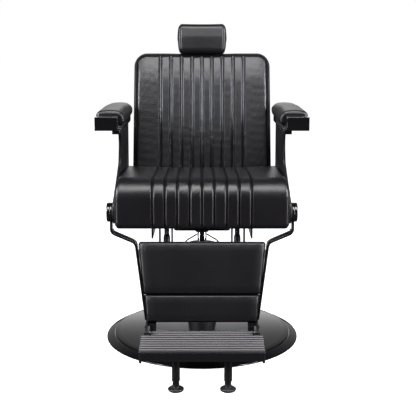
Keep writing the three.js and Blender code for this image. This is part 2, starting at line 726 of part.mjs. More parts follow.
function armPad(side) {
  const foot = ARM_Z + ARM_RAIL_H + SEAT_GAP;
  const section = outline([
    [PAD_IN, foot + 2, 8], [PAD_OUT, foot, 6], [PAD_OUT, foot + PAD_H, PAD_ROUND],
    [PAD_IN, foot + PAD_H, PAD_ROUND]]);
  const y0 = BLOCK_FRONT + BLOCK_D + SEAT_GAP;
  const wide = PAD_OUT - PAD_IN;
  const plan = outline([
    [PAD_IN, y0, 6], [PAD_OUT, y0, 6], [PAD_OUT, PAD_REAR, wide * PAD_REAR_OUT],
    [PAD_IN, PAD_REAR, wide * PAD_REAR_IN]]);
  return onSide(common(pulledY(section, y0 - 5, PAD_REAR + 5, 5),
    pulledZ(plan, foot - 10, foot + PAD_H + 10, 5)), side);
}

function hubBolt(side) {
  const cap = turned([
    [0, hubOut + SEAT_GAP], [HUB_R, hubOut + SEAT_GAP], [HUB_R, hubOut + SEAT_GAP + HUB_CAP_T - 2],
    [HUB_R - 2, hubOut + SEAT_GAP + HUB_CAP_T], [0, hubOut + SEAT_GAP + HUB_CAP_T]], 28);
  cap.rotateY(Math.PI / 2);
  cap.translate(0, HUB_Y, HUB_Z);
  const pin = barX(HUB_PIN_R, sideIn, hubOut + 2, HUB_Y, HUB_Z);
  return onSide(join(cap, pin), side);
}

// ---- Recline lever, placed about its pin on the right side plate ------------------------------
function makeLever(lever) {
  const x0 = sideOut + SEAT_GAP;
  const stemX = x0 + GRIP_R + 1;
  const hub = barX(LEVER_HUB_R, x0, stemX + LEVER_BAR_R, 0, 0);
  const pin = barX(LEVER_PIN_R, sideIn, x0 + 1, 0, 0);
  const end = LEVER_REACH - GRIP_L;
  const stem = barY(LEVER_BAR_R, 4, end + 12, 0, 0, 16);
  stem.rotateX(radians(-LEVER_DROP));
  stem.translate(stemX, 0, 0);
  part(lever, 'recline_lever', onSide(join(hub, pin, stem), -1), SATIN_BLACK);
  const bore = LEVER_BAR_R + BORE_GAP;
  const grip = turned([
    [0, end + 12.5], [bore, end + 12.5], [bore, end], [GRIP_R - 5, end], [GRIP_R - 2, end + 4],
    [GRIP_R, LEVER_REACH - 14], [GRIP_R - 4, LEVER_REACH - 3], [0, LEVER_REACH]], 18);
  grip.rotateX(-Math.PI / 2 + radians(-LEVER_DROP));
  grip.translate(stemX, 0, 0);
  part(lever, 'lever_grip', onSide(grip, -1), RUBBER);
}

// ---- Struts, placed about the upper pin and hanging down --------------------------------------
function makeStrutRods(rods) {
  for (const [word, side] of SIDES) {
    const x = side * STRUT_X;
    const eye = barX(STRUT_PIN_R + 5, x - 9, x + 9, 0, 0, 24);
    const rod = disc(STRUT_ROD_R, -STRUT_ROD_L, -5, 18);
    rod.translate(x, 0, 0);
    const bore = barX(STRUT_PIN_R + BORE_GAP, x - 20, x + 20, 0, 0, 16);
    part(rods, `strut_rod_${word}`, cut(join(eye, rod), bore), BARE_STEEL);
  }
}

function makeStrutTubes(tubes) {
  const foot = -strutLength + STRUT_EYE_R - 2;
  const mouth = -strutLength + 12 + STRUT_TUBE_L;
  for (const [word, side] of SIDES) {
    const x = side * STRUT_X;
    const barrel = turned([
      [0, foot], [STRUT_TUBE_R, foot], [STRUT_TUBE_R, mouth - 8], [STRUT_TUBE_R - 2, mouth],
      [STRUT_ROD_R + BORE_GAP, mouth], [STRUT_ROD_R + BORE_GAP, foot + 40], [0, foot + 40]], 18);
    barrel.translate(x, 0, 0);
    const eye = barX(STRUT_EYE_R, x - 9, x + 9, 0, -strutLength, 20);
    const hole = barX(STRUT_PIN_R + STRUT_EYE_PLAY, x - 20, x + 20, 0, -strutLength, 20);
    part(tubes, `strut_tube_${word}`, cut(join(barrel, eye), hole), SATIN_BLACK);
  }
}

// ---- Back, upright about the recline shaft ----------------------------------------------------
function reclineShaft() {
  const out = sideOut + SEAT_GAP;
  const flanges = [-1, 1].map((s) => barX(SHAFT_FLANGE_R, s > 0 ? out : -out - SHAFT_FLANGE_T,
    s > 0 ? out + SHAFT_FLANGE_T : -out, 0, 0, 32));
  return join(barX(SHAFT_R, -out - 1, out + 1, 0, 0, 32), ...flanges);
}

function backArm(side) {
  const rear = backRearY;
  const arm = pulledX(outline([
    [-6, -BACK_ARM_R + 2], [rear - 8, -12, 16], [rear + BACK_ARM_T, 26, 20],
    [rear + BACK_ARM_T, BACK_ARM_TOP, 9], [rear, BACK_ARM_TOP, 2], [rear, BACK_FOOT - 10, 8],
    [8, BACK_ARM_R - 3]]), BACK_ARM_X - BACK_ARM_W / 2, BACK_ARM_X + BACK_ARM_W / 2, 5);
  const ring = barX(BACK_ARM_R, BACK_ARM_X - BACK_ARM_W / 2, BACK_ARM_X + BACK_ARM_W / 2, 0, 0, 24);
  const bore = barX(SHAFT_R + SEAT_GAP, 0, 2 * BACK_ARM_X, 0, 0, 24);
  return onSide(cut(join(arm, ring), bore), side);
}

// Front view of the back with rounded upper corners and a shallow dip under the headrest.
function backOutline(inset, dip) {
  const foot = BACK_FOOT_HALF - inset;
  const top = BACK_TOP_HALF - inset;
  const head = BACK_TOP - inset;
  const corner = BACK_CORNER - inset / 2;
  const shape = new THREE.Shape();
  shape.moveTo(-foot, BACK_FOOT + inset / 2);
  shape.lineTo(foot, BACK_FOOT + inset / 2);
  shape.lineTo(top, head - corner);
  shape.absarc(top - corner, head - corner, corner, 0, Math.PI / 2, false);
  shape.lineTo(BACK_DIP_HALF, head);
  shape.quadraticCurveTo(0, head - 2 * dip, -BACK_DIP_HALF, head);
  shape.lineTo(-top + corner, head);
  shape.absarc(-top + corner, head - corner, corner, Math.PI / 2, Math.PI, false);
  shape.closePath();
  return shape;
}

function headrestSocket() {
  const y0 = backRearY;
  const barY0 = y0 + 6;
  const body = block(-SOCKET_W / 2, SOCKET_W / 2, y0, y0 + SOCKET_D, SOCKET_LOW, SOCKET_LOW + SOCKET_H);
  const slot = block(-HEAD_BAR_W / 2 - BORE_GAP, HEAD_BAR_W / 2 + BORE_GAP, barY0 - BORE_GAP,
    barY0 + HEAD_BAR_T + BORE_GAP, SOCKET_LOW - 1, SOCKET_LOW + SOCKET_H + 1);
  const hole = barY(KNOB_STEM_R + BORE_GAP, barY0 + 1, y0 + SOCKET_D + 1, 0, SOCKET_LOW + SOCKET_H / 2);
  return cut(body, slot, hole);
}

function makeBack(back) {
  part(back, 'recline_shaft', reclineShaft(), BARE_STEEL);
  for (const [word, side] of SIDES) part(back, `back_arm_${word}`, backArm(side), SATIN_BLACK);
  part(back, 'back_cushion', pulledY(backOutline(0, BACK_DIP), BACK_FACE, BACK_FACE + BACK_PAD_T, 6),
    LEATHER);
  part(back, 'back_board', pulledY(backOutline(BACK_INSET + 4, BACK_DIP), backBoardY,
    backBoardY + BACK_BOARD_T, 6), PLYWOOD);
  part(back, 'back_panel', pulledY(backOutline(BACK_INSET, BACK_DIP), backPanelY,
    backPanelY + BACK_PANEL_T, 6), LEATHER);
  part(back, 'headrest_socket', headrestSocket(), SATIN_BLACK);
}

// ---- Clamp knob behind the headrest socket ----------------------------------------------------
function makeKnob(knob) {
  const face = backRearY + SOCKET_D + SEAT_GAP;
  const z = SOCKET_LOW + SOCKET_H / 2;
  const lobes = [];
  for (let k = 0; k < KNOB_LOBES; k += 1) {
    const a = (2 * Math.PI * k) / KNOB_LOBES;
    lobes.push(barY(4.5, face + 3, face + KNOB_T, (KNOB_R - 1) * Math.cos(a),
      z + (KNOB_R - 1) * Math.sin(a), 8));
  }
  const body = barY(KNOB_R, face + 3, face + KNOB_T, 0, z, 24);
  const neck = barY(KNOB_R - 7, face, face + 4, 0, z);
  const stem = barY(KNOB_STEM_R, backRearY + 6 + HEAD_BAR_T + BORE_GAP, face + 1, 0, z, 16);
  part(knob, 'clamp_knob', join(body, neck, stem, ...lobes), RUBBER);
}

// ---- Headrest ---------------------------------------------------------------------------------
function makeHeadrest(head) {
  const barMid = backRearY + 6 + HEAD_BAR_T / 2;
  const boardRear = HEAD_REAR + 2 * SEAT_GAP + HEAD_BOARD_T;
  const upMid = boardRear + HEAD_BAR_T / 2;
  const jog = BACK_TOP + 10;
  const strip = bentStrip([
    [barMid, HEAD_BAR_FOOT], [barMid, jog], [upMid, jog + 8], [upMid, HEAD_BAR_TOP]], HEAD_BAR_T);
  part(head, 'headrest_bar', pulledX(strip, -HEAD_BAR_W / 2, HEAD_BAR_W / 2), CHROME);
  const boardY = HEAD_REAR + SEAT_GAP;
  part(head, 'headrest_board', pulledY(outline([
    [-HEAD_BOARD_HALF_W, headFoot + 12, 12], [HEAD_BOARD_HALF_W, headFoot + 12, 12],
    [HEAD_BOARD_HALF_W, headTop - 10, 12], [-HEAD_BOARD_HALF_W, headTop - 10, 12],
  ]), boardY, boardY + HEAD_BOARD_T, 4), PLYWOOD);
  const side = outline([
    [HEAD_REAR, headFoot + 4, 8], [HEAD_REAR, headTop - 4, 14],
    [HEAD_REAR - HEAD_PAD_T, headTop - 2, 26], [HEAD_REAR - HEAD_PAD_T, headFoot, 24]]);
  const front = outline([
    [-HEAD_HALF_W, headFoot, 20], [HEAD_HALF_W, headFoot, 20],
    [HEAD_HALF_W, headTop, 14], [-HEAD_HALF_W, headTop, 14]]);
  part(head, 'headrest_pad', common(
    pulledX(side, -HEAD_HALF_W - 5, HEAD_HALF_W + 5, 5),
    pulledY(front, HEAD_REAR - HEAD_PAD_T - 5, HEAD_REAR + 5, 5)), LEATHER);
}

// ---- Leg rest ---------------------------------------------------------------------------------
// Distance of a bar's middle from the chair's centre plane at a height below the knee, and how much
// thicker the leaning bar is when measured level.
const barX0 = (z) => barEndX + ((BAR_KNEE_X - barEndX) * (z - BAR_END_Z)) / (BAR_KNEE_Z - BAR_END_Z);
const BAR_LEAN = Math.hypot(1, (BAR_KNEE_X - barEndX) / (BAR_KNEE_Z - BAR_END_Z));

function legBar(side) {
  const x = (hubIn + hubOut) / 2;
  const front = bentStrip([
    [x, HUB_Z + HUB_R + 5], [x, BAR_BEND_Z], [BAR_KNEE_X, BAR_KNEE_Z], [barEndX, BAR_END_Z]], BAR_T);
  const half = BAR_W / 2;
  const strap = outline([
    [HUB_Y - half, HUB_Z], [HUB_Y - half, HUB_Z - 30], [BAR_KNEE_Y - half, BAR_KNEE_Z + 8, 40],
    [BAR_END_Y - half, BAR_END_Z - 20], [BAR_END_Y + half, BAR_END_Z - 20],
    [BAR_KNEE_Y + half, BAR_KNEE_Z, 40], [HUB_Y + half, HUB_Z - 30], [HUB_Y + half, HUB_Z]]);
  const profile = join(pulledX(strap, 0, hubOut + 20, 5), barX(HUB_R, 0, hubOut + 20, HUB_Y, HUB_Z, 28));
  const bar = common(pulledY(front, BAR_END_Y - 60, HUB_Y + 60), profile);
  return onSide(cut(bar, barX(HUB_PIN_R + BORE_GAP, 0, hubOut + 30, HUB_Y, HUB_Z)), side);
}

// Half width of the calf pads at a distance down the panel.
const padHalf = (drop) => PAD_TOP_HALF + ((padFootHalf - PAD_TOP_HALF) * drop) / PAD_LENGTH;

function calfPad(from, to) {
  const shape = outline([
    [-padHalf(to), -to, 8], [padHalf(to), -to, 8], [padHalf(from), -from, 8], [-padHalf(from), -from, 8]]);
  return pulledY(shape, 0, PAD_THICK, 4);
}

// Steel board behind the pads with the lower strut lugs and pins, in the tilted panel's own frame.
function calfBoard() {
  const y0 = PAD_THICK + SEAT_GAP;
  const y1 = y0 + CALF_BOARD_T;
  const topHalf = PAD_TOP_HALF + 2;
  const footHalf = padFootHalf - 1;
  const board = pulledY(outline([
    [-footHalf, -PAD_LENGTH + 4, 6], [footHalf, -PAD_LENGTH + 4, 6], [topHalf, -4, 6], [-topHalf, -4, 6],
  ]), y0, y1, 3);
  const c = Math.cos(radians(PAD_TILT));
  const s = Math.sin(radians(PAD_TILT));
  const reach = (z) => barX0(PAD_TOP_Z - s * y1 + c * z) - (BAR_T / 2) * BAR_LEAN - SEAT_GAP;
  const tabs = [];
  for (const [low, high] of CALF_TABS) {
    for (const [, side] of SIDES) {
      tabs.push(onSide(pulledY(outline([
        [footHalf - 20, low], [reach(low), low], [reach(high), high], [footHalf - 20, high],
      ]), y0, y1), side));
    }
  }
  const dy = STRUT_FOOT_Y - PAD_TOP_Y;
  const dz = STRUT_FOOT_Z - PAD_TOP_Z;
  const pinY = dy * c - dz * s;
  const pinZ = dy * s + dz * c;
  const lug = outline([
    [y1 - 1, pinZ - 22], [pinY, pinZ - 12, 6], [pinY + 12, pinZ, 6], [pinY, pinZ + 12, 6],
    [y1 - 1, pinZ + 22]]);
  const lugs = [];
  for (const [, side] of SIDES) {
    for (const x of [STRUT_X - 15, STRUT_X + 15]) {
      lugs.push(pulledX(lug, side * x - 2, side * x + 2, 3));
    }
    lugs.push(barX(STRUT_PIN_R, side * STRUT_X - 16, side * STRUT_X + 16, pinY, pinZ, 16));
  }
  return join(board, ...tabs, ...lugs);
}

function footEar(side) {
  const x0 = footEarX - FOOT_EAR_T / 2;
  const x1 = footEarX + FOOT_EAR_T / 2;
  const top = BAR_END_Z - 1 - SEAT_GAP;
  const front = FOLD_Y - FOOT_EAR_R + 1;
  const ear = outline([
    [BAR_END_Y - 14, top], [front, FOLD_Z + 8, 6], [front, FOLD_Z - 9, 6],
    [FOLD_Y + 12, FOLD_Z - 9, 6], [BAR_END_Y + 16, FOLD_Z, 6], [BAR_END_Y + 18, top]]);
  const plate = pulledX(ear, x0, x1, 4);
  const pin = barX(FOLD_PIN_R, FOOT_NECK_HALF - FOOT_WALL - 1.5, x1 + 3, FOLD_Y, FOLD_Z, 16);
  const bolt = barX(5, x1 - 1, x1 + 3, FOLD_Y + 25, FOLD_Z + 12, 6);
  const head = barX(6, x1 - 1, x1 + 2, FOLD_Y, FOLD_Z, 6);
  const stopZ = FOOT_PLATE_Z + STOP_H + SEAT_GAP;
  const stop = block(FOOT_NECK_HALF - STOP_W, x0 + 1, FOOT_REAR - STOP_D, FOOT_REAR, stopZ,
    stopZ + EAR_STOP_H);
  return onSide(join(plate, pin, bolt, head, stop), side);
}

function makeLegrest(leg) {
  for (const [word, side] of SIDES) {
    part(leg, `leg_bar_${word}`, legBar(side), GLOSS_BLACK);
    part(leg, `foot_ear_${word}`, footEar(side), SATIN_BLACK);
  }
  const panel = new THREE.Group();
  panel.position.set(0, PAD_TOP_Y, PAD_TOP_Z);
  panel.rotation.x = -radians(PAD_TILT);
  leg.add(panel);
  part(panel, 'calf_pad_upper', calfPad(0, PAD_SPLIT), LEATHER);
  part(panel, 'calf_pad_lower', calfPad(PAD_SPLIT + PAD_SPLIT_GAP, PAD_LENGTH), LEATHER);
  part(panel, 'calf_board', calfBoard(), SATIN_BLACK);
  const tubeY = PAD_THICK + CALF_BOARD_T + 2 * SEAT_GAP + CALF_TUBE_R;
  const reach = padHalf(CALF_TUBE_DROP) - 12;
  part(panel, 'leg_cross_tube', barX(CALF_TUBE_R, -reach, reach, tubeY, -CALF_TUBE_DROP, 20), SATIN_BLACK);
}

// ---- Footrest ---------------------------------------------------------------------------------
// Plan of the footplate, drawn in by a margin: wide front, narrow neck, hollow rear edge.
function footPlan(margin) {
  const m = margin;
  const shape = new THREE.Shape();
  const r = Math.max(FOOT_CORNER - m, 1);
  const front = FOOT_FRONT + m;
  const wide = FOOT_FRONT_HALF - m;
  const step = FOOT_STEP_HALF - m;
  const neck = FOOT_NECK_HALF - m;
  shape.moveTo(-wide + r, front);
  shape.lineTo(wide - r, front);
  shape.absarc(wide - r, front + r, r, -Math.PI / 2, 0, false);
  shape.lineTo(step, FOOT_STEP - m);
  shape.lineTo(neck, FOOT_STEP - m);
  shape.lineTo(neck, FOOT_REAR - m);
  shape.lineTo(neck - 12, FOOT_REAR - m);
  shape.quadraticCurveTo(0, FOOT_REAR - m - 2 * FOOT_HOLLOW, -neck + 12, FOOT_REAR - m);
  shape.lineTo(-neck, FOOT_REAR - m);
  shape.lineTo(-neck, FOOT_STEP - m);
  shape.lineTo(-step, FOOT_STEP - m);
  shape.lineTo(-wide, front + r);
  shape.absarc(-wide + r, front + r, r, Math.PI, 1.5 * Math.PI, false);
  shape.closePath();
  return shape;
}

function footPlate() {
  const low = FOOT_PLATE_Z - FOOT_SIDE_H;
  const outer = pulledZ(footPlan(0), low, FOOT_PLATE_Z, 4);
  const pocket = pulledZ(footPlan(FOOT_WALL), low - 5, FOOT_PLATE_Z - FOOT_PLATE_T, 4);
  const trim = block(-FOOT_FRONT_HALF + FOOT_CORNER, FOOT_FRONT_HALF - FOOT_CORNER, FOOT_FRONT - 5,
    FOOT_STEP - 20, low - 5, FOOT_PLATE_Z - FOOT_LIP_H);
  const lug = outline([
    [FOLD_Y - 12, FOOT_PLATE_Z - 8], [FOLD_Y + 12, FOOT_PLATE_Z - 8],
    [FOLD_Y + 9, FOLD_Z + 9, 8], [FOLD_Y - 9, FOLD_Z + 9, 8]]);
  const inner = FOOT_NECK_HALF - FOOT_WALL;
  const lugs = [-1, 1].map((s) => pulledX(lug, s > 0 ? inner : -FOOT_NECK_HALF,
    s > 0 ? FOOT_NECK_HALF : -inner, 4));
  const stops = [-1, 1].map((s) => block(s > 0 ? FOOT_NECK_HALF - STOP_W : -FOOT_NECK_HALF,
    s > 0 ? FOOT_NECK_HALF : STOP_W - FOOT_NECK_HALF, FOOT_REAR - STOP_D, FOOT_REAR,
    FOOT_PLATE_Z - 1, FOOT_PLATE_Z + STOP_H));
  const bore = barX(FOLD_PIN_R + BORE_GAP, -FOOT_STEP_HALF, FOOT_STEP_HALF, FOLD_Y, FOLD_Z, 16);
  return cut(join(cut(outer, pocket, trim), ...lugs, ...stops), bore);
}

// Ribbed tread: ribs across the chair, cut to the plan of the plate.
function footTread() {
  const foot = FOOT_PLATE_Z + SEAT_GAP;
  const from = FOOT_FRONT + 2;
  const to = FOOT_REAR - 2 * FOOT_HOLLOW + 6;
  const shape = [[from, foot], [to, foot], [to, foot + RIB_BASE]];
  const ribs = Math.floor((to - from - RIB_TOP_W) / RIB_PITCH);
  for (let k = 0; k <= ribs; k += 1) {
    const mid = to - RIB_TOP_W / 2 - 3 - k * RIB_PITCH;
    const half = RIB_TOP_W / 2;
    shape.push([mid + half + 2, foot + RIB_BASE], [mid + half, foot + RIB_BASE + RIB_H],
      [mid - half, foot + RIB_BASE + RIB_H], [mid - half - 2, foot + RIB_BASE]);
  }
  shape.push([from, foot + RIB_BASE]);
  const slab = pulledX(outline(shape), -FOOT_STEP_HALF - 5, FOOT_STEP_HALF + 5);
  const plan = pulledZ(footPlan(1), foot - 5, foot + 20, 4);
  const inner = FOOT_NECK_HALF - FOOT_WALL - 2;
  const notches = [-1, 1].map((s) => block(s > 0 ? inner : -FOOT_NECK_HALF - 2,
    s > 0 ? FOOT_NECK_HALF + 2 : -inner, FOLD_Y - 14, FOLD_Y + 14, foot - 5, foot + 20));
  return cut(common(slab, plan), ...notches);
}

function makeFootrest(foot) {
  part(foot, 'foot_plate', footPlate(), GLOSS_BLACK);
  part(foot, 'foot_tread', footTread(), RIBBED_METAL);
  const top = FOOT_PLATE_Z - FOOT_PLATE_T - SEAT_GAP;
  const glideTop = FLOOR_GAP + GLIDE_H;
  for (const [word, side] of SIDES) {
    const leg = disc(LEG_R, glideTop + SEAT_GAP, top, 28);
    leg.translate(side * LEG_X, LEG_Y, 0);
    part(foot, `floor_leg_${word}`, leg, SATIN_BLACK);
    const glide = turned([
      [0, FLOOR_GAP], [GLIDE_R - 4, FLOOR_GAP], [GLIDE_R - 1, FLOOR_GAP + 3], [GLIDE_R, FLOOR_GAP + 7],
      [GLIDE_R - 2, FLOOR_GAP + 12], [GLIDE_R - 7, FLOOR_GAP + 14], [LEG_R + 1.5, glideTop - 3],
      [LEG_R + 1, glideTop], [0, glideTop]], 24);
    glide.translate(side * LEG_X, LEG_Y, 0);
    part(foot, `leg_glide_${word}`, glide, RUBBER);
  }
}

// ---- The chair --------------------------------------------------------------------------------
const chair = new THREE.Group();

function bodyAt(parent, x, y, z, tilt = 0) {
  const group = new THREE.Group();
  group.position.set(x, y, z);
  group.rotation.x = tilt;
  parent.add(group);
  return group;
}

makeBase(bodyAt(chair, 0, 0, 0));
makePedal(bodyAt(chair, 0, PEDAL_Y, PEDAL_Z));
part(bodyAt(chair, 0, 0, 0), 'piston_rod', disc(PISTON_R, PISTON_FOOT, PISTON_TOP, 32), CHROME);
makeSeat(bodyAt(chair, 0, 0, 0));
makeLever(bodyAt(chair, 0, LEVER_Y, LEVER_Z));
const strutTilted = bodyAt(chair, 0, STRUT_TOP_Y, STRUT_TOP_Z, -strutTilt);
makeStrutRods(strutTilted);
makeStrutTubes(strutTilted);
const backTilted = bodyAt(chair, 0, SHAFT_Y, SHAFT_Z, -radians(BACK_TILT));
makeBack(backTilted);
makeKnob(backTilted);
makeHeadrest(backTilted);
makeLegrest(bodyAt(chair, 0, 0, 0));
makeFootrest(bodyAt(chair, 0, 0, 0));

export default chair;
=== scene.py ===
import json
import math

import bmesh
import bpy
import numpy as np
from bpy.props import FloatProperty, FloatVectorProperty, IntProperty, PointerProperty
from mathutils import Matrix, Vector

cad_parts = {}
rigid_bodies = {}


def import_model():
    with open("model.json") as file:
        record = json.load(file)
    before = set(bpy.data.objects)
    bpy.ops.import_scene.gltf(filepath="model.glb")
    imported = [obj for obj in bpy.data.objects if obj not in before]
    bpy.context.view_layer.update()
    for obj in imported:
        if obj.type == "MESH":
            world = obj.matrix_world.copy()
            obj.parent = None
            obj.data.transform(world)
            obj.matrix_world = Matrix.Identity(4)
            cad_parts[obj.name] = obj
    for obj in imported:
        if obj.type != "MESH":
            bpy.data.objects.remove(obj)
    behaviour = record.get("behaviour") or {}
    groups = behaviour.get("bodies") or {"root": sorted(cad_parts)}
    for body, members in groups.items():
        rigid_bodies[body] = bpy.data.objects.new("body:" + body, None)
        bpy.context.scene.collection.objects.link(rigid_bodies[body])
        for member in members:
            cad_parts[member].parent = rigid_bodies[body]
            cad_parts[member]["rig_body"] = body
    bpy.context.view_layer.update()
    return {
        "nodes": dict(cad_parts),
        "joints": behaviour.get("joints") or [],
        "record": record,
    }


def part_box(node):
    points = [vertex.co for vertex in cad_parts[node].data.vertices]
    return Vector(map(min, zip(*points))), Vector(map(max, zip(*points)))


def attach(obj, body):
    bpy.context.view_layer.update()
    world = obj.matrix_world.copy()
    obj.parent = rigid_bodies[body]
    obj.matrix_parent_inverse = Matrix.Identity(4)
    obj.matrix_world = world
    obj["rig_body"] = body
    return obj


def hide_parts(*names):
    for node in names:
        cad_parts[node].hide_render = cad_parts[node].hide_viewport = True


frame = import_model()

bl_info = {
    "name": "Barber chair",
    "version": (1, 0, 0),
    "blender": (4, 5, 0),
    "location": "View3D > Sidebar > Barber chair",
    "description": "Upholstery, metalwork and studio for a hydraulic barber chair",
    "category": "Object",
}

JOINTS = {joint["name"]: joint for joint in frame["joints"]}
SIDES = (("left", 1.0), ("right", -1.0))
X_AXIS = np.array([1.0, 0.0, 0.0])
SHEET_WELD = 2e-6        # points of a new mesh closer than this become one, in metres
SHORTEST_EDGE = 1e-7     # shorter edges are dissolved
CAD_WELD = 1e-5          # the same as SHEET_WELD for a copied CAD mesh
SOFT_EDGE = 60.0         # leather edges sharper than this stay sharp, in degrees
TURNED_EDGE = 35.0       # the same for turned parts
CUT_EDGE = 33.0          # the same for cut parts, and their bevels
MATERIALS = {}           # filled by build_finishes


# ---- Sizes and colours a user would change ----
class ChairSizes(bpy.types.PropertyGroup):
    """Sizes of the sewn and rounded details."""
    channel_count: IntProperty(
        name="Sewn lines", description="Lines sewn down the seat and back", default=9)
    seat_pitch: FloatProperty(
        name="Seat channel width", description="From one sewn line to the next",
        default=0.0395, unit="LENGTH")
    back_pitch: FloatProperty(
        name="Back channel width", description="From one sewn line to the next",
        default=0.0387, unit="LENGTH")
    seat_depth: FloatProperty(
        name="Seat channel depth", description="How far a sewn line pulls in",
        default=0.0065, unit="LENGTH")
    back_depth: FloatProperty(
        name="Back channel depth", description="How far a sewn line pulls in",
        default=0.0072, unit="LENGTH")
    piping_radius: FloatProperty(
        name="Piping radius", description="Radius of the welt in the seams",
        default=0.0025, unit="LENGTH")
    calf_tilt: FloatProperty(
        name="Calf pad tilt", description="Lean of the calf pads",
        default=math.radians(13.8), subtype="ANGLE")


class ChairFinishes(bpy.types.PropertyGroup):
    """Colours and gloss of the finishes."""
    leather: FloatVectorProperty(
        name="Leather", description="Colour of the upholstery",
        default=(0.0040, 0.0035, 0.0043), subtype="COLOR")
    leather_roughness: FloatProperty(
        name="Leather roughness", description="Mean roughness", default=0.315)
    gloss_paint: FloatVectorProperty(
        name="Gloss paint", description="Colour of the gloss paint",
        default=(0.003, 0.003, 0.0035), subtype="COLOR")
    satin_paint: FloatVectorProperty(
        name="Satin paint", description="Colour of the satin paint",
        default=(0.003, 0.003, 0.0033), subtype="COLOR")
    chrome: FloatVectorProperty(
        name="Chrome", description="Colour of the plating", default=(0.80, 0.81, 0.83), subtype="COLOR")
    steel: FloatVectorProperty(
        name="Bare steel", description="Colour of turned steel",
        default=(0.42, 0.43, 0.45), subtype="COLOR")
    tread: FloatVectorProperty(
        name="Tread", description="Colour of the ribbed tread",
        default=(0.110, 0.104, 0.105), subtype="COLOR")
    rubber: FloatVectorProperty(
        name="Rubber", description="Colour of rubber parts",
        default=(0.014, 0.014, 0.014), subtype="COLOR")
    plywood: FloatVectorProperty(
        name="Plywood", description="Colour of the boards", default=(0.42, 0.29, 0.17), subtype="COLOR")
    iron: FloatVectorProperty(
        name="Cast iron", description="Colour of the weight plate",
        default=(0.07, 0.07, 0.075), subtype="COLOR")


class StudioSettings(bpy.types.PropertyGroup):
    """Camera and lamps."""
    distance: FloatProperty(
        name="Camera distance", description="From the pump's axis", default=3.0, unit="LENGTH")
    height: FloatProperty(
        name="Camera height", description="Above the floor", default=1.074, unit="LENGTH")
    pitch: FloatProperty(
        name="Camera pitch", description="How far the camera looks down", default=math.radians(11.54),
        subtype="ANGLE")
    lens: FloatProperty(name="Lens", description="Focal length in millimetres", default=75.68)
    shift: FloatProperty(name="Sideways shift", description="Shift of the frame", default=0.0144)
    key: FloatProperty(name="Key lamp", description="Power of the lamp above the front", default=56.0)
    side: FloatProperty(name="Side lamps", description="Power of each side lamp", default=50.0)
    fill: FloatProperty(name="High side lamps", description="Power of each cool lamp", default=65.0)
    ambient: FloatProperty(name="Ambient", description="Strength of the even light", default=0.10)


# ---- Measures from the frame ----
def node_points(node):
    """The corners of a CAD node's mesh as an array."""
    mesh = frame["nodes"][node].data
    points = np.empty(len(mesh.vertices) * 3)
    mesh.vertices.foreach_get("co", points)
    return points.reshape(-1, 3)


class Axes:
    """A place and three directions: sideways, rearwards and upwards of a tilted part."""

    def __init__(self, origin, tilt=0.0):
        self.origin = np.array(origin, float)
        self.rear = np.array([0.0, math.cos(tilt), -math.sin(tilt)])
        self.up = np.array([0.0, math.sin(tilt), math.cos(tilt)])

    def world(self, points):
        """Points given as sideways, rearwards, upwards, turned into the row frame."""
        return (self.origin + points[..., :1] * X_AXIS + points[..., 1:2] * self.rear
                + points[..., 2:3] * self.up)

    def span(self, node):
        """Lowest and highest corner of a CAD node measured along these directions."""
        points = node_points(node) - self.origin
        local = np.stack([points @ X_AXIS, points @ self.rear, points @ self.up], axis=1)
        return local.min(axis=0), local.max(axis=0)


def back_axes():
    """Directions of the tilted back, from its hinge and the way the headrest slides."""
    up = JOINTS["headrest_slide"]["axis"]
    return Axes(JOINTS["recline"]["pos_m"], math.atan2(up[1], up[2]))


# ---- Building meshes ----
def quads(rows, columns, start, wrap_rows, wrap_columns):
    """Corner numbers of the four-sided faces between the rows and columns of a grid."""
    row = np.arange(rows if wrap_rows else rows - 1)[:, None]
    column = np.arange(columns if wrap_columns else columns - 1)[None, :]
    next_row = (row + 1) % rows
    next_column = (column + 1) % columns
    corners = [row * columns + column, row * columns + next_column,
               next_row * columns + next_column, next_row * columns + column]
    return np.stack(np.broadcast_arrays(*corners), axis=-1).reshape(-1, 4) + start


def add_object(name, data):
    """A new object in the scene's own collection."""
    made = bpy.data.objects.new(name, data)
    bpy.context.scene.collection.objects.link(made)
    return made


def shade_edges(mesh, sharp):
    """Smooth shading with sharp edges from an angle in degrees up."""
    mesh.shade_smooth()
    mesh.set_sharp_from_angle(angle=math.radians(sharp))


def solid(name, sheets, sharp):
    """One mesh from point grids (points, wrap_rows, wrap_columns), welded where they meet, faces out."""
    vertices, faces, start = [], [], 0
    for points, wrap_rows, wrap_columns in sheets:
        rows, columns = points.shape[:2]
        vertices.append(points.reshape(-1, 3))
        faces.append(quads(rows, columns, start, wrap_rows, wrap_columns))
        start += rows * columns
    mesh = bpy.data.meshes.new(name)
    mesh.from_pydata(np.concatenate(vertices).tolist(), [], np.concatenate(faces).tolist())
    built = bmesh.new()
    built.from_mesh(mesh)
    bmesh.ops.remove_doubles(built, verts=built.verts, dist=SHEET_WELD)
    bmesh.ops.dissolve_degenerate(built, edges=built.edges, dist=SHORTEST_EDGE)
    bmesh.ops.recalc_face_normals(built, faces=built.faces)
    built.to_mesh(mesh)
    built.free()
    shade_edges(mesh, sharp)
    return add_object(name, mesh)


def fit_out(piece, slot, body, *nodes, finish=None):
    """Gives a piece its slot, the CAD nodes it stands for, its body, and the slot's finish or another."""
    piece.data.materials.clear()
    piece.data.materials.append(MATERIALS[finish or slot])
    if nodes:
        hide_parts(*nodes)
    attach(piece, body)
    return piece


def quarter(distance, radius):
    """Quarter-circle rise from 0 at an edge to 1 at the radius: the square root of 1 - (1 - d/r)^2."""
    inward = 1.0 - np.clip(distance / radius, 0.0, 1.0)
    return np.sqrt(1.0 - inward ** 2)


def eased(distance, reach):
    """Rise from 0 at an edge to 1 at the reach along a parabola, 1 - (1 - d/r)^2."""
    return 1.0 - (1.0 - np.clip(distance / reach, 0.0, 1.0)) ** 2


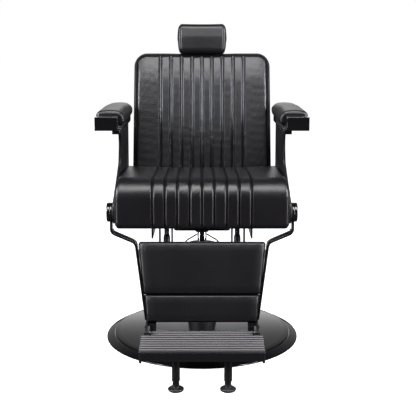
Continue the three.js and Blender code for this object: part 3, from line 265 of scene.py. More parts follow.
def smooth(value):
    """S-shaped ramp 3t^2 - 2t^3 from 0 to 1, with t clipped to that range."""
    t = np.clip(value, 0.0, 1.0)
    return t * t * (3.0 - 2.0 * t)


def dense_ends(count, share):
    """Numbers from -1 to 1, closer together near both ends: a blend of t and sin(pi t / 2)."""
    t = np.linspace(-1.0, 1.0, count)
    return share * np.sin(t * np.pi / 2) + (1.0 - share) * t


SHELF_STOPS = (0.0, 0.06, 0.42, 0.50, 0.74, 0.80, 0.93, 1.13, 1.2)
SHELF_DIPS = (1.0, 0.985, 0.81, 0.74, 0.25, 0.17, 0.07, 0.004, 0.0)


def sewn_lines(pitch, count):
    """Places of the sewn lines across a pad, in the middle of it."""
    return (np.arange(count) - (count - 1) / 2) * pitch


def sewn_dip(x, pitch, count, wide, narrow, soft=0.18, shelf=False):
    """1 on a sewn line and 0 on a channel's back, with the wide slope on the side nearer the middle.

    Each slope is h(t) - h(t - 1) with h(t) = (t + sqrt(t^2 + soft^2)) / 2, a ramp with rounded ends.
    With a shelf, the wide slope starts and ends gently, as the filling pushes out beside a tight seam.
    """
    rank = np.clip(np.round(x / pitch + (count - 1) / 2), 0, count - 1) - (count - 1) / 2
    offset = x - rank * pitch
    lean = np.sign(offset * rank)
    width = np.where(lean < 0, wide, np.where(lean > 0, narrow, 0.5 * (wide + narrow)))
    t = np.abs(offset) / width
    dip = 1.0 - 0.5 * (1.0 + np.sqrt(t ** 2 + soft ** 2) - np.sqrt((t - 1.0) ** 2 + soft ** 2))
    if shelf:
        dip = np.where(lean > 0, dip, np.interp(t, SHELF_STOPS, SHELF_DIPS))
    return dip


def channel_columns(half, pitch, count, wide, narrow, bolster=16):
    """Places from -half to half across a channelled pad, close together over each sewn line."""
    lines = sewn_lines(pitch, count)
    near = np.array([-1.7, -1.35, -1.1, -1.0, -0.9, -0.8, -0.74, -0.6, -0.48, -0.4, -0.24, -0.08, 0.0])
    steps = [0.0]
    for line in lines[lines >= -1e-9]:
        inner = wide if line > 1e-9 else 0.5 * (wide + narrow)
        outer = narrow if line > 1e-9 else inner
        steps.extend(line + near * inner)
        steps.extend(line - near * outer)
        steps.append(line + 0.5 * pitch)
    last = lines[-1] + 1.7 * narrow
    steps = [step for step in steps if 0.0 <= step <= last]
    t = np.sin(np.linspace(0.0, 1.0, bolster + 1) * np.pi / 2)
    right = np.unique(np.round(np.concatenate([steps, last + (half - last) * t]), 7))
    return np.concatenate([-right[:0:-1], right])


def rounded_line(corners, steps, closed=False):
    """A line through corners (a, b, radius), each swapped for an arc that touches both its sides."""
    count = len(corners)
    spots = np.array([corner[:2] for corner in corners], float)
    line = []
    for k, corner in enumerate(corners):
        here, radius = spots[k], corner[2]
        if radius <= 0 or (not closed and k in (0, count - 1)):
            line.append(here[None])
            continue
        back = spots[k - 1] - here
        ahead = spots[(k + 1) % count] - here
        back /= np.linalg.norm(back)
        ahead /= np.linalg.norm(ahead)
        half = math.acos(np.clip(back @ ahead, -1.0, 1.0)) / 2
        middle = back + ahead
        centre = here + middle / np.linalg.norm(middle) * radius / math.sin(half)
        start = here + back * radius / math.tan(half) - centre
        end = here + ahead * radius / math.tan(half) - centre
        a0 = math.atan2(start[1], start[0])
        turn = (math.atan2(end[1], end[0]) - a0 + math.pi) % (2 * math.pi) - math.pi
        angles = a0 + turn * np.linspace(0.0, 1.0, steps + 1)
        line.append(centre + radius * np.stack([np.cos(angles), np.sin(angles)], axis=1))
    return np.concatenate(line)


def walked(line):
    """How far along a line each of its points lies."""
    return np.concatenate([[0.0], np.cumsum(np.linalg.norm(np.diff(line, axis=0), axis=1))])


def points_at(line, stops):
    """Points of a flat line at the given distances along it."""
    length = walked(line)
    return np.stack([np.interp(stops, length, line[:, axis]) for axis in range(2)], axis=1)


def even_loop(line, count):
    """A closed line walked in equal steps: count points, with no repeat of the first."""
    closed = np.concatenate([line, line[:1]])
    return points_at(closed, np.linspace(0.0, walked(closed)[-1], count, endpoint=False))


def loop_normals(loop):
    """Outward unit normals of a closed flat loop, from the chord between each point's neighbours."""
    along = np.roll(loop, -1, axis=0) - np.roll(loop, 1, axis=0)
    across = np.stack([along[:, 1], -along[:, 0]], axis=1)
    across /= np.linalg.norm(across, axis=1, keepdims=True)
    area = np.sum(loop[:, 0] * np.roll(loop[:, 1], -1) - loop[:, 1] * np.roll(loop[:, 0], -1))
    return across if area > 0 else -across


def turned(profile, place, sides=96):
    """Surface of revolution: each (radius, height) of the profile carried round a circle, then placed."""
    angle = np.linspace(0.0, 2 * np.pi, sides, endpoint=False)
    radius = profile[:, :1]
    ring = np.stack([radius * np.cos(angle), radius * np.sin(angle),
                     np.repeat(profile[:, 1:2], sides, axis=1)], axis=-1)
    return place(ring), False, True


def upright(x=0.0, y=0.0):
    """Places a turned part with its axis along Z."""
    return lambda ring: ring + np.array([x, y, 0.0])


def sideways(y, z, side):
    """Places a turned part with its height running outwards along X."""
    return lambda ring: np.stack([side * ring[..., 2], y + ring[..., 0], z + ring[..., 1]], axis=-1)


def tube(loop, radius, reference, sides=10):
    """A round section carried round a closed loop: square to the loop, and turned to a reference."""
    along = np.roll(loop, -1, axis=0) - np.roll(loop, 1, axis=0)
    along /= np.linalg.norm(along, axis=1, keepdims=True)
    first = reference - np.sum(reference * along, axis=1, keepdims=True) * along
    first /= np.linalg.norm(first, axis=1, keepdims=True)
    second = np.cross(along, first)
    angle = np.linspace(0.0, 2 * np.pi, sides, endpoint=False)[None, :, None]
    rows = loop[:, None] + radius * (np.cos(angle) * first[:, None] + np.sin(angle) * second[:, None])
    return rows, True, True


# ---- Materials ----
NOISE = "TexNoise"
CELLS = "TexVoronoi"
EVEN = (1.0, 1.0, 1.0)
DRAWN_UP = (1.0, 1.0, 0.05)        # marks drawn out along Z
DRAWN_ACROSS = (0.03, 1.0, 1.0)    # marks drawn out along X
PLY = (0.15, 1.0, 3.0)             # long along X and thin along Z, as a board's layers
CREASED = (1.0, 1.0, 2.6)          # creases wider than they are tall


def new_material(name, colour, roughness):
    """A material with its plain values on the shader's own sockets."""
    material = bpy.data.materials.new(name)
    material.use_nodes = True
    shader = material.node_tree.nodes["Principled BSDF"]
    shader.inputs["Base Color"].default_value = (*colour, 1.0)
    shader.inputs["Roughness"].default_value = roughness
    return material, shader


def add_node(tree, kind, sockets):
    """A shader node whose sockets, by name or number, take a plain value or another node's output."""
    node = tree.nodes.new(f"ShaderNode{kind}")
    for key, value in sockets.items():
        if isinstance(value, bpy.types.NodeSocket):
            tree.links.new(value, node.inputs[key])
        else:
            node.inputs[key].default_value = value
    return node


def texture(material, kind, scale, detail=2.0, stretch=EVEN):
    """The first output of a noise or cell texture on Object coordinates, in cycles per metre."""
    tree = material.node_tree
    place = add_node(tree, "TexCoord", {}).outputs["Object"]
    turn = add_node(tree, "Mapping", {"Vector": place, "Scale": stretch}).outputs[0]
    return add_node(tree, kind, {"Vector": turn, "Scale": scale, "Detail": detail}).outputs[0]


def mapped(tree, source, start, end, low, high):
    """Maps a socket's stretch from start to end onto low to high, and holds it there outside."""
    return add_node(tree, "MapRange", {"Value": source, "From Min": start, "From Max": end,
                                       "To Min": low, "To Max": high}).outputs[0]


def finish(name, colour, roughness, tone, tones, bumps, spread=None, sockets=None):
    """A finish whose tone, and roughness too, follow one texture, with a chain of bumps over it.

    tone is the texture's kind, scale, detail and stretch, and tones are the shares of the colour that it
    runs between. spread is two roughnesses and the stretch of the texture that runs between them. A bump
    is its distance in metres, its strength and its texture.
    """
    material, shader = new_material(name, colour, roughness)
    tree = material.node_tree
    for socket, value in (sockets or {}).items():
        shader.inputs[socket].default_value = value
    pattern = texture(material, *tone)
    mix = tree.nodes.new("ShaderNodeMix")
    mix.data_type = "RGBA"
    for socket, share in zip("AB", tones):
        mix.inputs[socket].default_value = (*(channel * share for channel in colour), 1.0)
    tree.links.new(pattern, mix.inputs["Factor"])
    tree.links.new(mix.outputs["Result"], shader.inputs["Base Color"])
    if spread:
        low, high, start, end = spread
        tree.links.new(mapped(tree, pattern, start, end, low, high), shader.inputs["Roughness"])
    chain = {}
    for distance, strength, *kind in bumps:
        chain.update({"Height": texture(material, *kind), "Distance": distance, "Strength": strength})
        chain["Normal"] = add_node(tree, "Bump", chain).outputs[0]
    tree.links.new(chain["Normal"], shader.inputs["Normal"])
    return material


def leathers():
    """Half-gloss grained hide with soft creases, and the same hide, duller, round the welt cord."""
    colour = bpy.context.scene.chair_finishes.leather
    mean = bpy.context.scene.chair_finishes.leather_roughness
    hide = finish("leather_black", colour, mean, (NOISE, 9.0, 3.0), (0.8, 1.3), [
        (0.0002, 0.4, NOISE, 26.0, 4.0, CREASED), (0.00018, 0.4, NOISE, 90.0, 3.0),
        (0.0003, 0.45, CELLS, 700.0), (0.00015, 0.4, NOISE, 1600.0, 3.0)],
        (mean - 0.03, mean + 0.03, 0.1, 0.9), {"Specular IOR Level": 0.45})
    # The welt's hide runs at 0.6 to 1.0 of the leather colour, below the hide's 0.8 to 1.3: painted shade
    # that makes the seam line read dark.
    welt = finish("piping_leather", colour, mean + 0.1, (NOISE, 20.0), (0.6, 1.0),
                  [(0.0002, 0.5, CELLS, 900.0)], sockets={"Specular IOR Level": 0.3})
    return {"upholstery": hide, "piping": welt}


def paint(name, colour, roughness, coat):
    """Stoved paint: slight orange peel and a roughness that wanders."""
    return finish(name, colour, roughness, (NOISE, 14.0, 4.0), (0.85, 1.3),
                  [(0.0002, 0.12, NOISE, 260.0)], (roughness * 0.85, roughness * 1.25, 0.3, 0.7),
                  {"Coat Weight": coat, "Coat Roughness": roughness * 0.5})


def metal(name, colour, roughness, stretch, marks=0.2, wander=0.35):
    """Bare or plated metal with fine drawn marks in one direction."""
    return finish(name, colour, roughness, (NOISE, 18.0, 3.0), (0.85, 1.0),
                  [(0.0001, marks, NOISE, 500.0, 3.0, stretch)],
                  (roughness * (1.0 - wander), roughness * (1.0 + wander), 0.3, 0.7), {"Metallic": 1.0})


def rough_solid(name, colour, roughness, scale, depth, stretch=EVEN):
    """Rubber, iron, wood or dull paint: a mottled tone and a textured skin."""
    skin = (NOISE, scale, 4.0, stretch)
    return finish(name, colour, roughness, skin, (0.7, 1.3), [(depth, 0.5, *skin)])


def build_finishes():
    """Every finish, keyed by the record's slot, with the piping and a duller paint beside them."""
    finishes = bpy.context.scene.chair_finishes
    MATERIALS.update({
        **leathers(),
        "gloss_black": paint("gloss_black_paint", finishes.gloss_paint, 0.16, 0.6),
        "satin_black": paint("satin_black_paint", finishes.satin_paint, 0.4, 0.0),
        "dull_black": rough_solid("dull_black_paint", finishes.satin_paint, 0.6, 320.0, 0.0002),
        "chrome": metal("chrome_plate", finishes.chrome, 0.07, DRAWN_UP, 0.05),
        "bare_steel": metal("turned_steel", finishes.steel, 0.3, DRAWN_UP),
        "ribbed_metal": metal("anodised_tread", finishes.tread, 0.55, DRAWN_ACROSS, 0.02, 0.05),
        "black_rubber": rough_solid("moulded_rubber", finishes.rubber, 0.62, 700.0, 0.0002),
        "plywood": rough_solid("raw_plywood", finishes.plywood, 0.7, 60.0, 0.0004, PLY),
        "iron_plate": rough_solid("cast_iron_plate", finishes.iron, 0.75, 240.0, 0.0006),
    })


# ---- Upholstered shapes ----
def boxed_pad(x, z, front, seam, rear, swell):
    """A pad with a domed front sheet, a boxing that swells by sin(pi t) and a flat rear.

    x, z and front are grids: the front sheet stands proud of the seam by front, towards -y. Returns the
    sheets and the line of the welt in the front seam.
    """
    last_row, last_column = x.shape[0] - 1, x.shape[1] - 1
    down, along = np.arange(last_row), np.arange(last_column)
    ring_rows = np.concatenate([down, np.full(last_column, last_row), last_row - down, 0 * along])
    ring_columns = np.concatenate([0 * down, along, np.full(last_row, last_column), last_column - along])
    ring = np.stack([x[ring_rows, ring_columns], z[ring_rows, ring_columns]], axis=1)
    outward = loop_normals(ring)
    t = np.linspace(0.0, 1.0, 9)[:, None]
    wall = ring + (swell * np.sin(np.pi * t))[..., None] * outward
    wall_y = np.broadcast_to(seam + (rear - seam) * t, wall.shape[:2])
    sheets = [
        (np.stack([x, seam - front, z], axis=-1), False, False),
        (np.stack([wall[..., 0], wall_y, wall[..., 1]], axis=-1), False, True),
        (np.stack([x, np.full_like(x, rear), z], axis=-1), False, False),
    ]
    welt = ring + 0.2 * swell * outward
    return sheets, np.insert(welt, 1, seam, axis=1)


def wrapped_pad(loop, centre, u, edge, swell, shape):
    """A cover wrapped round a loop and closed by two swelling end panels.

    The columns stand at u; near each end the loop shrinks by a quarter circle of radius edge. The end
    panels shrink the loop towards its centre and bulge by swell times sqrt(1 - k^4). shape(u, loop
    points, normals) gives the final across, a, b of each point.
    """
    normals = loop_normals(loop)
    inset = edge * (1.0 - quarter(u[-1] - np.abs(u), edge))
    a = loop[None, :, 0] - inset[:, None] * normals[None, :, 0]
    b = loop[None, :, 1] - inset[:, None] * normals[None, :, 1]
    across = np.broadcast_to(u[:, None], a.shape)
    across, a, b = shape(across, a, b, normals)
    sheets = [(np.stack([across, a, b], axis=-1), False, True)]
    k = np.cos(np.linspace(0.0, np.pi / 2, 14))[:, None]
    bulge = swell * np.sqrt(np.clip(1.0 - k ** 4, 0.0, 1.0))
    for end in (0, -1):
        panel = [across[end] + np.sign(u[end]) * bulge, centre[0] + (a[end] - centre[0]) * k,
                 centre[1] + (b[end] - centre[1]) * k]
        sheets.append((np.stack(panel, axis=-1), False, True))
    return sheets


def place_sheets(sheets, place):
    """Every sheet of a piece moved into the row frame."""
    return [(place(points), rows, columns) for points, rows, columns in sheets]


def upholster(name, sheets, body, *nodes, fill=0.85):
    """A leather piece that stands for soft CAD nodes."""
    piece = fit_out(solid(name, sheets, SOFT_EDGE), "upholstery", body, *nodes)
    return piece


def pipe(name, loop, body, reference):
    """A welt cord round a seam."""
    radius = bpy.context.scene.chair_sizes.piping_radius
    piece = solid(name, [tube(loop, radius, reference)], SOFT_EDGE)
    fit_out(piece, "upholstery", body, finish="piping")


def pipe_ends(name, rows, body):
    """Welt cords round the two end rows of a wrapped cover."""
    for (word, _), row in zip(SIDES, (rows[-1], rows[0])):
        pipe(f"{name}_{word}", row, body, X_AXIS)


def build_seat():
    """Seat cushion: a loop of its side view carried across, with sewn channels over top and front.

    With k from 0 in the middle to 1 at either side, the top rises by k^3 and sinks by 1 - k^2. A pucker
    crosses it where the sitter's weight folds the leather, and fades as exp(-d^2) to either side.
    """
    sizes = bpy.context.scene.chair_sizes
    low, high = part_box("seat_cushion")
    points = node_points("seat_cushion")
    slab = points[points[:, 1] > 0.0][:, 2].min()
    foot_rear = points[np.abs(points[:, 2] - slab) < 1e-4][:, 1].max()
    lip_rear = points[np.abs(points[:, 2] - low.z) < 2e-3][:, 1].max()
    crest_radius = 0.062
    slope = math.radians(4.0)
    sewing = (sizes.seat_pitch, sizes.channel_count, 0.0065, 0.0038)
    pinch_depth, ripple_depth, side_rise, middle_fall, corner_bulge = 0.0016, 0.0007, 0.0065, 0.006, 0.004
    pucker_y, pucker_wave, pucker_width = -0.212, 0.006, 0.007
    front_z = high.z + crest_radius * (1.0 / math.cos(slope) + math.tan(slope) - 1.0)
    rear_z = front_z - (high.y - low.y) * math.tan(slope)
    loop = even_loop(rounded_line([
        (foot_rear, slab, 0.004), (high.y, rear_z, 0.010), (low.y, front_z, crest_radius),
        (low.y, low.z, 0.020), (lip_rear, low.z, 0.006), (lip_rear, slab, 0.0),
    ], 14, True), 300)

    def shape(x, y, z, normals):
        upper = smooth((normals[:, 1] + 0.3) / 0.6)[None] * smooth((y - low.y + 0.1) / 0.05)
        front = smooth((-normals[:, 0] - 0.2) / 0.5)[None]
        reach = np.clip(np.maximum(upper, front), 0.0, 1.0)
        reach = reach * smooth((z - low.z) / 0.012) * smooth((high.y - y) / 0.02)
        sewn = sewn_dip(x, *sewing)
        wide_sewn = sewn_dip(x, *sewing[:2], 0.014, 0.010, 0.5)
        pinch = np.exp(-((y - pucker_y - pucker_wave * np.sin(x * 91.0)) / pucker_width) ** 2) * upper
        ripple = ripple_depth * np.sin(y * 310.0 + 2.0 * np.sin(x * 57.0)) * upper * wide_sewn
        dip = (sizes.seat_depth * sewn + pinch_depth * pinch * wide_sewn) * reach + ripple
        k = np.abs(x) / high.x
        rise = side_rise * k ** 3 * smooth((y + 0.2) / 0.3) * smooth((z - slab) / 0.03)
        fall = middle_fall * (1.0 - k ** 2) * smooth((z - slab - 0.08) / 0.03) * smooth((y + 0.05) / 0.2)
        bulge = corner_bulge * smooth((k - 0.9) / 0.1) * smooth((-y - 0.27) / 0.02) * np.sign(x)
        return x + bulge, y - dip * normals[None, :, 0], z - dip * normals[None, :, 1] + rise - fall

    centre = (low.y + 0.05, 0.5 * (slab + high.z))
    u = channel_columns(high.x - 0.002, *sewing)
    sheets = wrapped_pad(loop, centre, u, 0.009, 0.006, shape)
    upholster("seat_cover", sheets, "seat", "seat_cushion")
    sunk = np.insert(0.0012 * loop_normals(loop), 0, 0.0, axis=1)
    pipe_ends("seat_piping", sheets[0][0] - sunk, "seat")


def corner_drop(across, half, corner):
    """Depth of a rounded corner below its edge's line: r - sqrt(r^2 - d^2), d beyond the arc's start."""
    over = np.clip(np.abs(across) - (half - corner), 0.0, corner)
    return corner - np.sqrt(corner ** 2 - over ** 2)


def back_outline(low, high, columns, rows, dip, corner):
    """Grid over the back's front view: straight sides, round upper corners, a shallow dip at the top.

    Only the outer parts of the columns lean with the taper, so the sewn lines stay upright. Returns x
    and z, and how far each point lies from the side, the top and the foot.
    """
    dip_half, taper, straight = 0.125, 0.005, 0.72
    v = (dense_ends(rows, 0.6)[None] + 1.0) / 2
    spread = columns[:, None] / columns[-1]
    outer = np.clip((np.abs(spread) - straight) / (1.0 - straight), 0.0, 1.0)
    x = spread * high[0] - np.sign(spread) * taper * v * outer
    half = high[0] - taper * v
    crest = high[2] - corner_drop(spread * (high[0] - taper), high[0] - taper, corner)
    crest = crest - dip * np.clip(1.0 - (spread * high[0] / dip_half) ** 2, 0.0, 1.0)
    z = low[2] + (crest - low[2]) * v
    return x, z, half - np.abs(x), crest - z, z - low[2]


def build_back():
    """Back cushion: a channelled front sheet over a boxing, with a welt in the front seam."""
    sizes = bpy.context.scene.chair_sizes
    axes = back_axes()
    low, high = axes.span("back_cushion")
    inset = np.array([0.006, 0.0, 0.002])
    sewing = (sizes.back_pitch, sizes.channel_count, 0.0105, 0.0040)
    crown, swell, ripple = 0.024, 0.0095, 0.0002
    columns = channel_columns(high[0] - inset[0], *sewing, 22)
    x, z, side, top, foot = back_outline(low + inset, high - inset, columns, 120, 0.002, 0.041)
    dome = 0.85 * quarter(side, 0.014) + 0.15 * quarter(side, 0.050)
    dome = dome * (0.5 * quarter(top, 0.012) + 0.5 * eased(top, 0.11)) * quarter(foot, 0.02)
    sewn = sewn_dip(x, *sewing, 0.18, True)
    wave = ripple * np.sin(z * 190.0 + 3.0 * np.sin(x * 45.0)) * np.sin(x * 130.0 + z * 31.0)
    front = crown * dome - (sizes.back_depth * sewn - wave) * smooth((top - 0.001) / 0.014)
    sheets, welt = boxed_pad(x, z, front, low[1] + crown, high[1], swell)
    upholster("back_cover", place_sheets(sheets, axes.world), "back", "back_cushion")
    pipe("back_piping", axes.world(welt), "back", axes.rear)


def build_rear_panel():
    """Rear panel of the back: a padded board with a welt round its edge."""
    axes = back_axes()
    low, high = axes.span("back_panel")
    columns = dense_ends(90, 0.45) * high[0]
    x, z, side, top, foot = back_outline(low, high, columns, 80, 0.003, 0.040)
    edge, swell = 0.012, 0.001
    dome = quarter(side, edge) * quarter(top, edge) * quarter(foot, edge)
    thick = high[1] - low[1]
    sheets, welt = boxed_pad(x, z, -0.45 * thick * dome, low[1] + 0.55 * thick, low[1], swell)
    upholster("rear_panel_cover", place_sheets(sheets, axes.world), "back", "back_panel")
    pipe("rear_panel_piping", axes.world(welt), "back", axes.rear)


def build_headrest():
    """Headrest: a cover wrapped round a rounded block, two swelling end panels, a welt in each seam.

    With k from 0 in the middle to 1 at either side, its top and front sink by 1 - k^2.
    """
    axes = back_axes()
    low, high = axes.span("headrest_pad")
    middle_y, middle = 0.5 * (low[1] + high[1]), 0.5 * (low[2] + high[2])
    half_tall = 0.5 * (high[2] - low[2])
    edge, swell, top_fall, front_fall = 0.004, 0.012, 0.003, 0.006
    loop = even_loop(rounded_line([
        (low[1] + 0.010, low[2] - 0.003, 0.018), (high[1], low[2], 0.010),
        (high[1], high[2] - 0.004, 0.016), (low[1], high[2], 0.018),
        (low[1] + 0.002, middle, 0.100)], 8, True), 120)

    def shape(x, y, z, normals):
        sag = 1.0 - (np.abs(x) / high[0]) ** 2
        up = smooth((z - middle) / half_tall)
        x = x * (1.0 - 0.03 * smooth((middle - z) / half_tall) - 0.015 * up)
        z = z - top_fall * sag * up
        y = y - front_fall * sag * smooth(-(y - middle_y) / 0.02)
        return x, y, z

    u = dense_ends(70, 0.6) * (high[0] - swell)
    sheets = wrapped_pad(loop, (middle_y, middle), u, edge, swell, shape)
    upholster("headrest_cover", place_sheets(sheets, axes.world), "headrest", "headrest_pad")
    pipe_ends("headrest_piping", axes.world(sheets[0][0]), "headrest")


def build_arm_pad(word, side):
    """One arm pad: a cover wrapped round a rounded section, closed front and rear.

    Its top is crowned by 1 - 2k^2, with k from 0 in the middle to 1 at either edge, falls towards the
    rear, and narrows there.
    """
    low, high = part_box(f"arm_pad_{word}")
    inner, outer = (low.x, high.x) if side > 0 else (-high.x, -low.x)
    middle_x, half_wide = 0.5 * (inner + outer), 0.5 * (outer - inner)
    middle_y, half = 0.5 * (low.y + high.y), 0.5 * (high.y - low.y)
    crown, rear_fall, narrowing, tight, edge, swell = 0.003, 0.005, 0.06, 0.55, 0.009, 0.0003
    loop = even_loop(rounded_line([
        (inner, low.z + 0.003, 0.012), (outer, low.z, 0.008), (outer, high.z - 0.001, 0.013),
        (inner, high.z - 0.001, 0.026)], 8, True), 110)

    def shape(along, x, z, normals):
        rear = smooth((along - tight * half) / ((1.0 - tight) * half))
        k = (x - middle_x) / half_wide
        rise = crown - 2.0 * crown * k ** 2 - rear_fall * smooth(along / half)
        return (along, x + (middle_x - x) * narrowing * rear ** 2,
                z + rise * smooth((z - high.z + 0.03) / 0.03))

    def place(points):
        return np.stack([side * points[..., 1], middle_y + points[..., 0], points[..., 2]], axis=-1)

    u = dense_ends(70, 0.8) * (half - 0.001)
    sheets = wrapped_pad(loop, (middle_x, 0.5 * (low.z + high.z)), u, edge, swell, shape)
    upholster(f"arm_cover_{word}", place_sheets(sheets, place), "seat", f"arm_pad_{word}")


def build_arm_pads():
    """Arm pads: both sides' leather covers."""
    for word, side in SIDES:
        build_arm_pad(word, side)


def build_calf_pads():
    """Calf pads: two plain domed pads that narrow downwards, tight at the edge and soft inside it."""
    axes = Axes((0.0, 0.0, 0.0), bpy.context.scene.chair_sizes.calf_tilt)
    crown, swell, corner, pucker_depth, end_band = 0.018, 0.002, 0.007, 0.0004, 0.012
    for name, top_margin in (("upper", 0.002), ("lower", 0.0)):
        node = f"calf_pad_{name}"
        low, high = axes.span(node)
        high[2] += top_margin
        local = node_points(node)
        upward = local @ axes.up
        wide = local[upward > high[2] - end_band][:, 0].max() + 0.0015
        narrow = local[upward < low[2] + end_band][:, 0].max() + 0.003
        u = dense_ends(100, 0.7)[:, None]
        v = (dense_ends(70, 0.7)[None] + 1.0) / 2
        half = narrow + (wide - narrow) * v
        x = u * half
        pull = corner_drop(x, half, corner)
        z = (low[2] + pull) + (high[2] - low[2] - 2 * pull) * v
        side, top, foot = half - np.abs(x), (high[2] - pull) - z, z - (low[2] + pull)
        dome = 1.0
        for distance, hard, edge, soft in ((side, 0.62, 0.006, 0.034), (top, 0.78, 0.006, 0.030),
                                           (foot, 0.7, 0.006, 0.026)):
            dome = dome * (hard * quarter(distance, edge) + (1.0 - hard) * eased(distance, soft))
        puckers = pucker_depth * np.sin(x * 150.0 + 1.3 * np.sin(x * 61.0)) * np.exp(-(top / 0.014) ** 2)
        front = crown * dome + puckers * smooth(side / 0.02)
        sheets, _ = boxed_pad(x, z, front, low[1] + crown, high[1], swell)
        upholster(f"calf_cover_{name}", place_sheets(sheets, axes.world), "legrest", node)


# ---- Turned parts ----
def build_base():
    """Base cover: a shallow dome between a stepped rim and the pump, one profile turned about Z."""
    low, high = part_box("base_cover")
    rim_radius = high.x
    shoulder = rim_radius - 0.031
    neck = 0.0523              # just outside the pump body
    dome_foot = 0.020
    share = np.linspace(0.0, 1.0, 40)
    radius = shoulder + (neck - shoulder) * share
    dome = high.z - (high.z - dome_foot) * ((radius - neck) / (shoulder - neck)) ** 1.5
    rim = rounded_line([
        (rim_radius - 0.002, low.z, 0.0), (rim_radius, low.z, 0.0006), (rim_radius, 0.0045, 0.002),
        (shoulder + 0.004, 0.0158, 0.003), (shoulder + 0.0005, 0.0150, 0.0008),
        (shoulder, 0.0205, 0.0018), (shoulder - 0.012, dome[2], 0.0)], 5)
    under = np.array([[neck, high.z - 0.002], [shoulder, 0.014], [rim_radius - 0.003, 0.003],
                      [rim_radius - 0.002, low.z]])
    profile = np.concatenate([rim[:-1], np.stack([radius, dome], axis=1)[3:], under])
    piece = solid("base_dome", [turned(profile, upright(), 160)], 30.0)
    fit_out(piece, "gloss_black", "base", "base_cover")


def turned_piece(name, corners, body, node, place=upright(), slot="satin_black", sides=64, steps=4,
                 finish=None):
    """A turned solid with rounded corners in its profile, in the slot's finish or in a named one."""
    piece = solid(name, [turned(rounded_line(corners, steps), place, sides)], TURNED_EDGE)
    fit_out(piece, slot, body, node, finish=finish)


def build_column():
    """Pump body, cap, piston and seat socket."""
    low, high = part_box("pump_housing")
    body_radius, bore = 0.052, 0.0169
    turned_piece("pump_body", [
        (0.0, low.z, 0.0), (high.x, low.z, 0.0008), (high.x, low.z + 0.012, 0.0015),
        (body_radius + 0.006, low.z + 0.012, 0.0), (body_radius, low.z + 0.020, 0.004),
        (body_radius, high.z, 0.0015), (bore, high.z, 0.0005), (bore, high.z - 0.05, 0.0),
        (0.0, high.z - 0.05, 0.0)],
        "base", "pump_housing", sides=96, finish="dull_black")
    low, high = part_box("pump_cap")
    turned_piece("pump_top_cap", [
        (bore, low.z, 0.0), (high.x, low.z, 0.0008), (high.x, high.z - 0.007, 0.0035),
        (high.x - 0.006, high.z - 0.003, 0.003), (0.0225, high.z - 0.003, 0.001),
        (0.0215, high.z, 0.001), (bore, high.z, 0.0006), (bore, low.z, 0.0)],
        "base", "pump_cap", sides=96, finish="dull_black")
    low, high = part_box("piston_rod")
    turned_piece("piston", [
        (0.0, low.z, 0.0), (high.x, low.z, 0.001), (high.x, high.z, 0.001), (0.0, high.z, 0.0)],
        "piston", "piston_rod", slot="chrome", sides=96)
    low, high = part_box("seat_socket")
    neck, bore_depth = 0.0235, 0.0223
    turned_piece("socket_collar", [
        (0.0, low.z + bore_depth, 0.0), (bore, low.z + bore_depth, 0.0), (bore, low.z, 0.0006),
        (neck, low.z, 0.002), (neck, low.z + 0.012, 0.004), (high.x, low.z + 0.018, 0.002),
        (high.x, high.z, 0.001), (0.0, high.z, 0.0)],
        "seat", "seat_socket", sides=72)


def build_hubs():
    """Round pivot caps with a shallow step and a domed middle, on their pins."""
    for word, side in SIDES:
        low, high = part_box(f"hub_bolt_{word}")
        outer = max(abs(low.x), abs(high.x))
        inner = min(abs(low.x), abs(high.x))
        middle = 0.5 * (low + high)
        radius = 0.5 * (high.z - low.z)
        under = outer - 0.010
        turned_piece(f"pivot_cap_{word}", [
            (0.0, inner, 0.0), (0.008, inner, 0.001), (0.008, under, 0.0), (radius, under, 0.0008),
            (radius, outer - 0.001, 0.003), (radius - 0.009, outer - 0.0005, 0.001),
            (radius - 0.011, outer - 0.0025, 0.001), (0.011, outer - 0.0025, 0.001),
            (0.0095, outer, 0.0015), (0.0, outer, 0.0)],
            "seat", f"hub_bolt_{word}", sideways(middle.y, middle.z, side), "gloss_black", sides=72)


def build_floor_legs():
    """Floor legs, drawn in above the foot, and their round glides."""
    for word, _ in SIDES:
        low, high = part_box(f"floor_leg_{word}")
        place = upright(0.5 * (low.x + high.x), 0.5 * (low.y + high.y))
        radius = 0.5 * (high.x - low.x)
        neck = radius - 0.002
        turned_piece(f"floor_leg_tube_{word}", [
            (0.0, low.z, 0.0), (neck, low.z, 0.0005), (neck, low.z + 0.009, 0.002),
            (radius, low.z + 0.012, 0.002), (radius, high.z, 0.001), (0.0, high.z, 0.0)],
            "footrest", f"floor_leg_{word}", place)
        low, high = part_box(f"leg_glide_{word}")
        wide = 0.5 * (high.x - low.x)
        turned_piece(f"glide_{word}", [
            (0.0, low.z, 0.0), (wide - 0.002, low.z, 0.002), (wide, low.z + 0.003, 0.002),
            (wide, low.z + 0.007, 0.003), (wide - 0.006, low.z + 0.0105, 0.004),
            (neck + 0.001, low.z + 0.0115, 0.002), (neck, high.z, 0.0005), (0.0, high.z, 0.0)],
            "footrest", f"leg_glide_{word}", place, steps=6)


